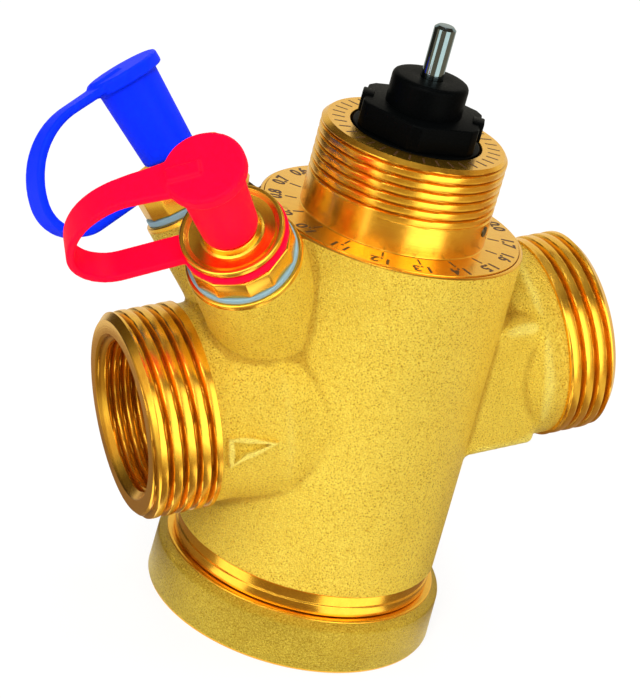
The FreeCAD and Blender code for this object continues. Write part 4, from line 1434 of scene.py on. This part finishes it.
@dataclass
class TestPoint:
    """Test plug with its washer, and the strapped cap that turns on it. Sizes in millimetres."""

    side: Side
    swing: float = 44.6
    boss_top: float = 49.7
    washer: float = 1.0
    hex_flats: float = 16.2
    hex_top: float = 54.4
    hex_corner: float = 8.45
    hex_edge: float = 0.3
    plug_profile: Sequence[Corner] = (
        Corner(1.5, 40.0), Corner(6.5, 40.0), Corner(6.5, 50.7), Corner(6.25, 50.7), Corner(6.25, 56.2),
        Corner(8.0, 56.2, 0.2), Corner(8.0, 57.23, 0.35), Corner(7.3, 57.23, 0.3), Corner(6.6, 56.75, 0.2),
        Corner(4.9, 56.55, 0.3), Corner(4.5, 56.75, 0.1), Corner(4.2, 57.6, 0.2), Corner(2.6, 57.75, 0.1),
        Corner(2.6, 66.5, 0.2), Corner(2.1, 67.0), Corner(1.5, 67.0),
    )
    cup_profile: Sequence[Corner] = (
        Corner(2.9, 57.9), Corner(4.35, 57.9, 0.9), Corner(4.95, 71.2, 0.3), Corner(6.13, 71.3, 0.3),
        Corner(6.13, 73.34, 0.45), Corner(0, 73.34), Corner(0, 67.6), Corner(2.9, 67.6),
    )
    strap_top: float = 72.32
    ring_height: float = 55.3
    strap_half: float = 2.5
    strap_wall: float = 1.3
    strap_edge: float = 0.4
    strap_flare: float = 0.3
    flare_points: int = 7
    wide_bend: float = 12.6
    tight_bend: float = 6.0
    strap_start: float = 4.4
    strap_run: float = 11.0
    strap_finish: float = 7.2
    bend_steps: int = 24
    strip_low: Spot = (0.4, -1.25, 72.4)
    strip_high: Spot = (5.6, 1.25, 73.75)
    strip_edge: float = 0.25
    voxel: float = 0.22
    softening: int = 2

    def build(self, shop: Workshop) -> None:
        """Build and dress the test point's pieces.

        Args:
            shop: Workshop that dresses them.
        """
        colour = self.side.name.lower()
        place = TestFrame(self.side).place()
        washer = lathe(f"{colour}_washer", [
            Corner(6.6, self.boss_top), Corner(8.52, self.boss_top, 0.2),
            Corner(8.52, self.boss_top + self.washer, 0.2), Corner(6.6, self.boss_top + self.washer),
        ], place=place)
        shop.piece(
            f"{colour}_washer", washer, GREY_WASHER, Body.HOUSING,
            [f"{colour}_plug_washer"],
        )
        shop.turned_brass(f"{colour}_plug", self.plug(place), [f"{colour}_test_plug"])
        face = lathe(f"{colour}_boss_face", [
            Corner(6.65, self.boss_top - 1.5), Corner(8.6, self.boss_top - 1.5),
            Corner(9.1, self.boss_top - 0.8), Corner(9.02, self.boss_top, 0.35), Corner(6.65, self.boss_top),
        ], place=place)
        shop.turned_brass(f"{colour}_boss_face", face)
        finish, body, slot = CAP_LOOKS[self.side]
        shop.piece(f"{colour}_cap_moulding", self.cap(), finish, body, [f"{colour}_cap"])

    def plug(self, place: Matrix) -> bpy.types.Mesh:
        """Turned brass plug: shank, hexagon, groove, dish and nipple.

        Args:
            place: Test point's frame, in metres.

        Returns:
            The mesh, in metres.
        """
        turned = lathe("plug_turned", self.plug_profile, place=place)
        hexagon = hexagon_mesh(
            "plug_hexagon", self.hex_flats, self.boss_top + self.washer, self.hex_top, self.hex_edge,
            place, self.hex_corner,
        )
        return joined_mesh("plug", [turned, hexagon])

    def cap(self) -> bpy.types.Mesh:
        """Moulded cap, strap and ring melted into one piece.

        Returns:
            The mesh, in metres.
        """
        place = TestFrame(self.side).place(self.swing)
        cup = lathe("cup", self.cup_profile, segments=SMALL_ROUND, place=place)
        ring = lathe("ring", [
            Corner(6.35, self.ring_height - 0.65, 0.2), Corner(8.3, self.ring_height - 0.65, 0.3),
            Corner(8.3, self.ring_height + 0.65, 0.3), Corner(6.35, self.ring_height + 0.65, 0.2),
        ], segments=SMALL_ROUND, place=place)
        shells = [cup, ring, self.strap(place), self.strap_end(place)]
        mesh = joined_mesh(f"{self.side.name.lower()}_cap_moulding", shells)
        return fuse_by_voxels(mesh, self.voxel, self.softening)

    def strap_end(self, place: Matrix) -> bpy.types.Mesh:
        """End of the strap that stands out of the cap's top as a low strip."""
        return box_mesh("strap_end", self.strip_low, self.strip_high, place, self.strip_edge)

    def strap_line(self) -> list[Point]:
        """Middle line of the strap: a run, a wide bend, a tight bend and a run to the ring.

        Returns:
            Distances from the test point's axis and heights along it, in millimetres.
        """
        wide, tight, run = self.wide_bend, self.tight_bend, self.strap_run
        start, end, steps = self.strap_start, self.strap_finish, self.bend_steps
        centre = Vector((run, self.strap_top - wide))
        turn = math.asin((self.ring_height + tight - centre.y) / (wide - tight))
        inner = centre + Vector((math.cos(turn), math.sin(turn))) * (wide - tight)
        line = [(start + (run - start) * step / 4, self.strap_top) for step in range(4)]
        for step in range(steps + 1):
            angle = math.pi / 2 + (turn - math.pi / 2) * step / steps
            line.append((centre.x + wide * math.cos(angle), centre.y + wide * math.sin(angle)))
        for step in range(1, steps + 1):
            angle = turn + (-math.pi / 2 - turn) * step / steps
            line.append((inner.x + tight * math.cos(angle), inner.y + tight * math.sin(angle)))
        line += [(inner.x + (end - inner.x) * step / 4, self.ring_height) for step in range(1, 5)]
        return line

    def strap(self, place: Matrix) -> bpy.types.Mesh:
        """Flat band along the strap's middle line, with rounded edges.

        Args:
            place: Cap's frame, in metres.

        Returns:
            The mesh, in metres.
        """
        line = self.strap_line()
        edge = self.strap_edge
        section = []
        for quarter, (across, up) in enumerate(((1, 1), (-1, 1), (-1, -1), (1, -1))):
            wide = (self.strap_half - edge) * across
            tall = (self.strap_wall / 2 - edge) * up
            for step in range(4):
                angle = math.pi / 2 * (quarter + step / 3)
                section.append((wide + edge * math.cos(angle), tall + edge * math.sin(angle)))
        shape = bmesh.new()
        rings = []
        for index, (out, height) in enumerate(line):
            before = line[max(index - 1, 0)]
            after = line[min(index + 1, len(line) - 1)]
            run = Vector((after[0] - before[0], after[1] - before[1])).normalized()
            normal = Vector((-run.y, run.x))
            flare = 1.0 + self.strap_flare * max(1.0 - index / self.flare_points, 0.0) ** 2
            ring = []
            for wide, tall in section:
                spot = Vector((out + normal.x * tall, wide * flare, height + normal.y * tall)) * MM
                ring.append(shape.verts.new(spot))
            rings.append(ring)
        skin(shape, rings, looped=False)
        return finished_mesh("strap", shape, place, MOULDED_SHARP)


@dataclass(frozen=True)
class Coil:
    """Helical spring round the stem's axis, which a joint presses. Sizes in millimetres.

    body and held are where its still end is, and stroke is how far the joint presses it. Neither held nor
    stroke is used.
    """

    name: str
    node: str
    body: Body
    joint: str
    radius: float
    wire: float
    turns: int
    foot: float
    top: float
    held: float
    stroke: float
    steps_per_turn: int = 40
    sides: int = 12

    def build(self, shop: Workshop) -> None:
        """Build and dress the spring.

        Args:
            shop: Workshop that dresses it.
        """
        item = shop.piece(self.name, self.mesh(), SPRING_STEEL, self.body, [self.node])
        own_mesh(item)

    def mesh(self) -> bpy.types.Mesh:
        """Round wire along a helix, with flat ends.

        Returns:
            The mesh, in metres.
        """
        shape = bmesh.new()
        steps = self.turns * self.steps_per_turn
        low, high = self.foot + self.wire, self.top - self.wire
        rings = []
        for step in range(steps + 1):
            angle = math.tau * self.turns * step / steps
            height = low + (high - low) * step / steps
            ring = []
            for side in range(self.sides):
                around = math.tau * side / self.sides
                out = self.radius + self.wire * math.cos(around)
                spot = (out * math.cos(angle), out * math.sin(angle), height + self.wire * math.sin(around))
                ring.append(shape.verts.new(Vector(spot) * MM))
            rings.append(ring)
        skin(shape, rings, looped=False)
        return finished_mesh(self.name, shape, UPRIGHT, ROUND_SHARP)


@dataclass
class Regulator:
    """Springs and diaphragm. Sizes in millimetres."""

    stem_coil: Coil = Coil(
        "stem_coil", "stem_spring", Body.DIAL, "stem_stroke",
        radius=3.4, wire=0.55, turns=7, foot=58.5, top=79.9, held=58.5, stroke=4.5,
    )
    cup_coil: Coil = Coil(
        "cup_coil", "regulator_spring", Body.HOUSING, "regulator_stroke",
        radius=8.6, wire=0.9, turns=5, foot=10.3, top=33.9, held=33.9, stroke=5.0,
    )
    rim: float = 20.8
    ledge: float = 17.5
    rim_foot: float = 3.8
    roll_top: float = 8.6
    wall: float = 0.8

    def build(self, shop: Workshop) -> None:
        """Build and dress the springs and the diaphragm.

        Args:
            shop: Workshop that dresses them.
        """
        self.stem_coil.build(shop)
        self.cup_coil.build(shop)
        rim_top = self.rim_foot + self.wall
        mesh = lathe("rolling_diaphragm", [
            Corner(self.ledge, self.rim_foot, 0.2), Corner(self.rim, self.rim_foot),
            Corner(self.rim, rim_top), Corner(self.ledge, rim_top, 0.3), Corner(15.1, self.roll_top, 0.4),
            Corner(13.5, self.roll_top), Corner(13.5, self.roll_top - self.wall),
            Corner(14.3, self.roll_top - self.wall, 0.2),
        ])
        sheet = shop.piece("rolling_diaphragm", mesh, BLACK_RUBBER, None, ["diaphragm"])
        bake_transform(sheet)


@dataclass
class InnerPieces:
    """Pieces that keep their CAD shape: the inner ones and the index pin."""

    finishes: dict[str, Finish] = field(default_factory=lambda: {
        "index_pin": DARK_STEEL,
        "cap_seal": BLACK_RUBBER,
        "bonnet_seal": BLACK_RUBBER,
        "stem_seal": BLACK_RUBBER,
        "red_plug_core": BLACK_RUBBER,
        "blue_plug_core": BLACK_RUBBER,
        "diaphragm_ring": TURNED_BRASS,
        "seat_ring": TURNED_BRASS,
        "stem_collar": TURNED_BRASS,
        "regulator_cup": WHITE_PLASTIC,
        "setting_sleeve": WHITE_PLASTIC,
        "control_plug": WHITE_PLASTIC,
        "seal_retainer": WHITE_PLASTIC,
        "dial_clip": SPRING_STEEL,
    })

    def dress(self, shop: Workshop, frame: dict) -> None:
        """Give each node its finish."""
        for node, finish in self.finishes.items():
            shop.dress_node(frame, node, finish)


@dataclass
class Studio:
    """Floor, cards, lamps, white surround and camera. Lengths in metres, angles in degrees."""

    camera_azimuth: float = -29.2
    camera_elevation: float = 23.4
    camera_roll: float = 15.24
    camera_distance: float = 0.38965
    camera_target: Spot = (-0.00494, 0.00269, 0.04488)
    focal_px: float = 2406.6
    sensor: float = 36.0
    floor_colour: Colour = (0.86, 0.86, 0.86)
    floor_reach: float = 3.0
    floor_white: float = 0.85
    room_colour: Colour = (0.95, 0.93, 0.90)
    room_strength: float = 0.36
    lamp_aim: Spot = (0.0, 0.0, 0.05)
    card_steps: int = 24
    strip_tint: Colour = (1.0, 0.95, 0.80)
    foot_rows: Sequence[Point] = ((0.027, 0.002), (0.06, 0.002))

    def build(self) -> None:
        """Set the stage."""
        self.floor()
        self.cards()
        self.lamps()
        self.surround()
        self.camera()
        bpy.context.scene.view_settings.view_transform = "Standard"

    def floor(self) -> None:
        """Plain pale floor that shows white, with the object's soft shadow."""
        reach = self.floor_reach
        corners = [(-reach, -reach, 0), (reach, -reach, 0), (reach, reach, 0), (-reach, reach, 0)]
        item, nodes = self.stand("floor", corners, [(0, 1, 2, 3)], "pale_floor")
        matt = nodes.add("ShaderNodeBsdfDiffuse", {"Color": self.floor_colour})
        glow = nodes.add("ShaderNodeEmission")
        seen = nodes.math("MULTIPLY", seen_ray(nodes), self.floor_white)
        blend = nodes.add("ShaderNodeMixShader", {0: seen, 1: matt.outputs[0], 2: glow.outputs[0]})
        nodes.add("ShaderNodeOutputMaterial", {"Surface": blend.outputs[0]})

    def stand(
        self, name: str, corners: Sequence[Spot], faces: Sequence[Sequence[int]], finish: str
    ) -> tuple[bpy.types.Object, NodeTree]:
        """Stand a bare mesh in the studio.

        Args:
            name: Object's name.
            corners: Its points.
            faces: Its faces, as numbers of points.
            finish: Name of its material.

        Returns:
            The object, and its material's empty node tree.
        """
        mesh = bpy.data.meshes.new(name)
        mesh.from_pydata(corners, [], faces)
        material = bpy.data.materials.new(finish)
        mesh.materials.append(material)
        return placed(name, mesh), cleared_nodes(material)

    def cards(self) -> None:
        """Tinted cards round the object, which only reflections see, so that metal shows bands."""
        self.card("left_flag", -131.0, -76.0, 0.07)
        self.card("left_card", -76.0, -52.0, 0.50)
        self.card("left_strip", -52.0, -27.0, 2.4, self.strip_tint)
        self.card("camera_flag", -27.0, 20.0, 0.38)
        self.card("right_strip", 20.0, 64.0, 2.4, self.strip_tint)
        self.card("right_card", 64.0, 128.0, 0.50)
        self.card("back_card", 128.0, 229.0, 0.80, self.strip_tint)
        self.card("roof_flag", 0.0, 360.0, 0.12, rows=((0.17, 0.24), (0.02, 0.42)))
        self.card("near_floor", 0.0, 360.0, 0.36, rows=((0.06, 0.002), (0.09, 0.002)))
        self.card("far_floor", 0.0, 360.0, 0.85, (1.0, 0.94, 0.74), ((0.09, 0.002), (0.17, 0.002)))
        self.card("foot_back", 64.0, 308.0, 0.26, rows=self.foot_rows)
        self.card("foot_left_strip", -52.0, -27.0, 1.9, self.strip_tint, self.foot_rows)
        self.card("foot_middle", -27.0, 20.0, 0.26, rows=self.foot_rows)
        self.card("foot_right_strip", 20.0, 64.0, 1.9, self.strip_tint, self.foot_rows)

    def card(
        self, name: str, start: float, end: float, level: float, tint: Colour = (1.0, 0.68, 0.40),
        rows: Sequence[Point] = ((0.17, 0.0), (0.17, 0.24)),
    ) -> None:
        """Add one bent card round the stem.

        Args:
            name: Card's name.
            start: First edge, in degrees round the stem from the camera.
            end: Last edge.
            level: Brightness.
            tint: Colour of the card.
            rows: Radius and height of its two long edges.
        """
        steps = self.card_steps
        corners = []
        for step in range(steps + 1):
            angle = math.radians(start + (end - start) * step / steps + self.camera_azimuth - 90.0)
            corners += [(math.cos(angle) * out, math.sin(angle) * out, height) for out, height in rows]
        faces = [(2 * step, 2 * step + 1, 2 * step + 3, 2 * step + 2) for step in range(steps)]
        item, nodes = self.stand(name, corners, faces, name)
        glow = nodes.add("ShaderNodeEmission", {"Color": tuple(level * part for part in tint)})
        nodes.add("ShaderNodeOutputMaterial", {"Surface": glow.outputs[0]})
        item.visible_camera = False
        item.visible_diffuse = False
        item.visible_shadow = False
        item.visible_transmission = False

    def lamps(self) -> None:
        """Soft boxes round the object."""
        self.lamp("key_box", (-0.40, -0.46, 0.50), (0.20, 0.30), 4.6, (1.0, 0.98, 0.92))
        self.lamp("front_box", (0.20, -0.60, 0.22), (0.10, 0.40), 1.6, (1.0, 0.97, 0.90))
        self.lamp("top_box", (0.05, 0.10, 0.75), (0.40, 0.40), 2.8, (1.0, 0.99, 0.97))
        self.lamp("right_box", (0.60, -0.05, 0.30), (0.25, 0.40), 1.4, (1.0, 0.98, 0.94))
        self.lamp("left_box", (-0.65, 0.05, 0.25), (0.25, 0.40), 1.6, (1.0, 0.98, 0.94))
        self.lamp("back_box", (0.20, 0.62, 0.40), (0.30, 0.40), 1.9, (1.0, 0.98, 0.94))

    def lamp(self, name: str, spot: Spot, size: Point, watts: float, colour: Colour) -> None:
        """Add one soft box.

        Args:
            name: Lamp's name.
            spot: Where it stands.
            size: Width and height.
            watts: Power.
            colour: Light's colour.
        """
        light = bpy.data.lights.new(name, "AREA")
        light.shape = "RECTANGLE"
        light.size, light.size_y = size
        light.energy = watts
        light.color = colour
        item = placed(name, light)
        item.location = spot
        item.rotation_euler = (Vector(spot) - Vector(self.lamp_aim)).to_track_quat("Z", "Y").to_euler()

    def surround(self) -> None:
        """White surround for the eye, and a dimmer room for the light."""
        world = bpy.data.worlds.new("studio")
        bpy.context.scene.world = world
        nodes = cleared_nodes(world)
        room = nodes.add("ShaderNodeBackground", {"Color": self.room_colour, "Strength": self.room_strength})
        white = nodes.add("ShaderNodeBackground", {"Color": WHITE})
        seen = seen_ray(nodes)
        blend = nodes.add("ShaderNodeMixShader", {0: seen, 1: room.outputs[0], 2: white.outputs[0]})
        nodes.add("ShaderNodeOutputWorld", {"Surface": blend.outputs[0]})

    def camera(self) -> None:
        """Camera at the photograph's angle."""
        around = math.radians(self.camera_azimuth)
        climb = math.radians(self.camera_elevation)
        roll = math.radians(self.camera_roll)
        flat = math.cos(climb)
        back = Vector((math.sin(around) * flat, -math.cos(around) * flat, math.sin(climb)))
        level = Vector((math.cos(around), math.sin(around), 0.0))
        rise = back.cross(level)
        right = level * math.cos(roll) + rise * math.sin(roll)
        up = rise * math.cos(roll) - level * math.sin(roll)
        lens = bpy.data.cameras.new("camera")
        lens.sensor_fit = "VERTICAL"
        lens.sensor_height = self.sensor
        lens.lens = self.focal_px * self.sensor / IMAGE_HEIGHT_PX
        lens.clip_start = 0.01
        item = placed("camera", lens)
        turn = Matrix((right, up, back)).transposed().to_4x4()
        spot = Vector(self.camera_target) + back * self.camera_distance
        item.matrix_world = Matrix.Translation(spot) @ turn
        bpy.context.scene.camera = item


def cleared_nodes(owner: bpy.types.ID) -> NodeTree:
    """Empty the node tree of a material or a world.

    Args:
        owner: The material or world.

    Returns:
        The empty tree.
    """
    owner.use_nodes = True
    owner.node_tree.nodes.clear()
    return NodeTree(owner.node_tree)


def seen_ray(nodes: NodeTree) -> bpy.types.NodeSocket:
    """Mask of the rays that should find a white surround: from the camera, or by reflection or glass.

    Args:
        nodes: Tree that gets the nodes.

    Returns:
        The mask's socket.
    """
    path = nodes.add("ShaderNodeLightPath")
    mirrored = nodes.math("MAXIMUM", path.outputs["Is Glossy Ray"], path.outputs["Is Transmission Ray"])
    return nodes.math("MAXIMUM", path.outputs["Is Camera Ray"], mirrored)


def main() -> None:
    """Build the valve's looks and its stage."""
    logging.basicConfig(level=logging.INFO, format="%(message)s")
    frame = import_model()
    shop = Workshop()
    ValveBody().build(shop)
    BottomCap().build(shop)
    Bonnet().build(shop)
    Setting().build(shop)
    for side in Side:
        TestPoint(side).build(shop)
    Regulator().build(shop)
    InnerPieces().dress(shop, frame)
    Studio().build()


if __name__ == "__main__":
    main()
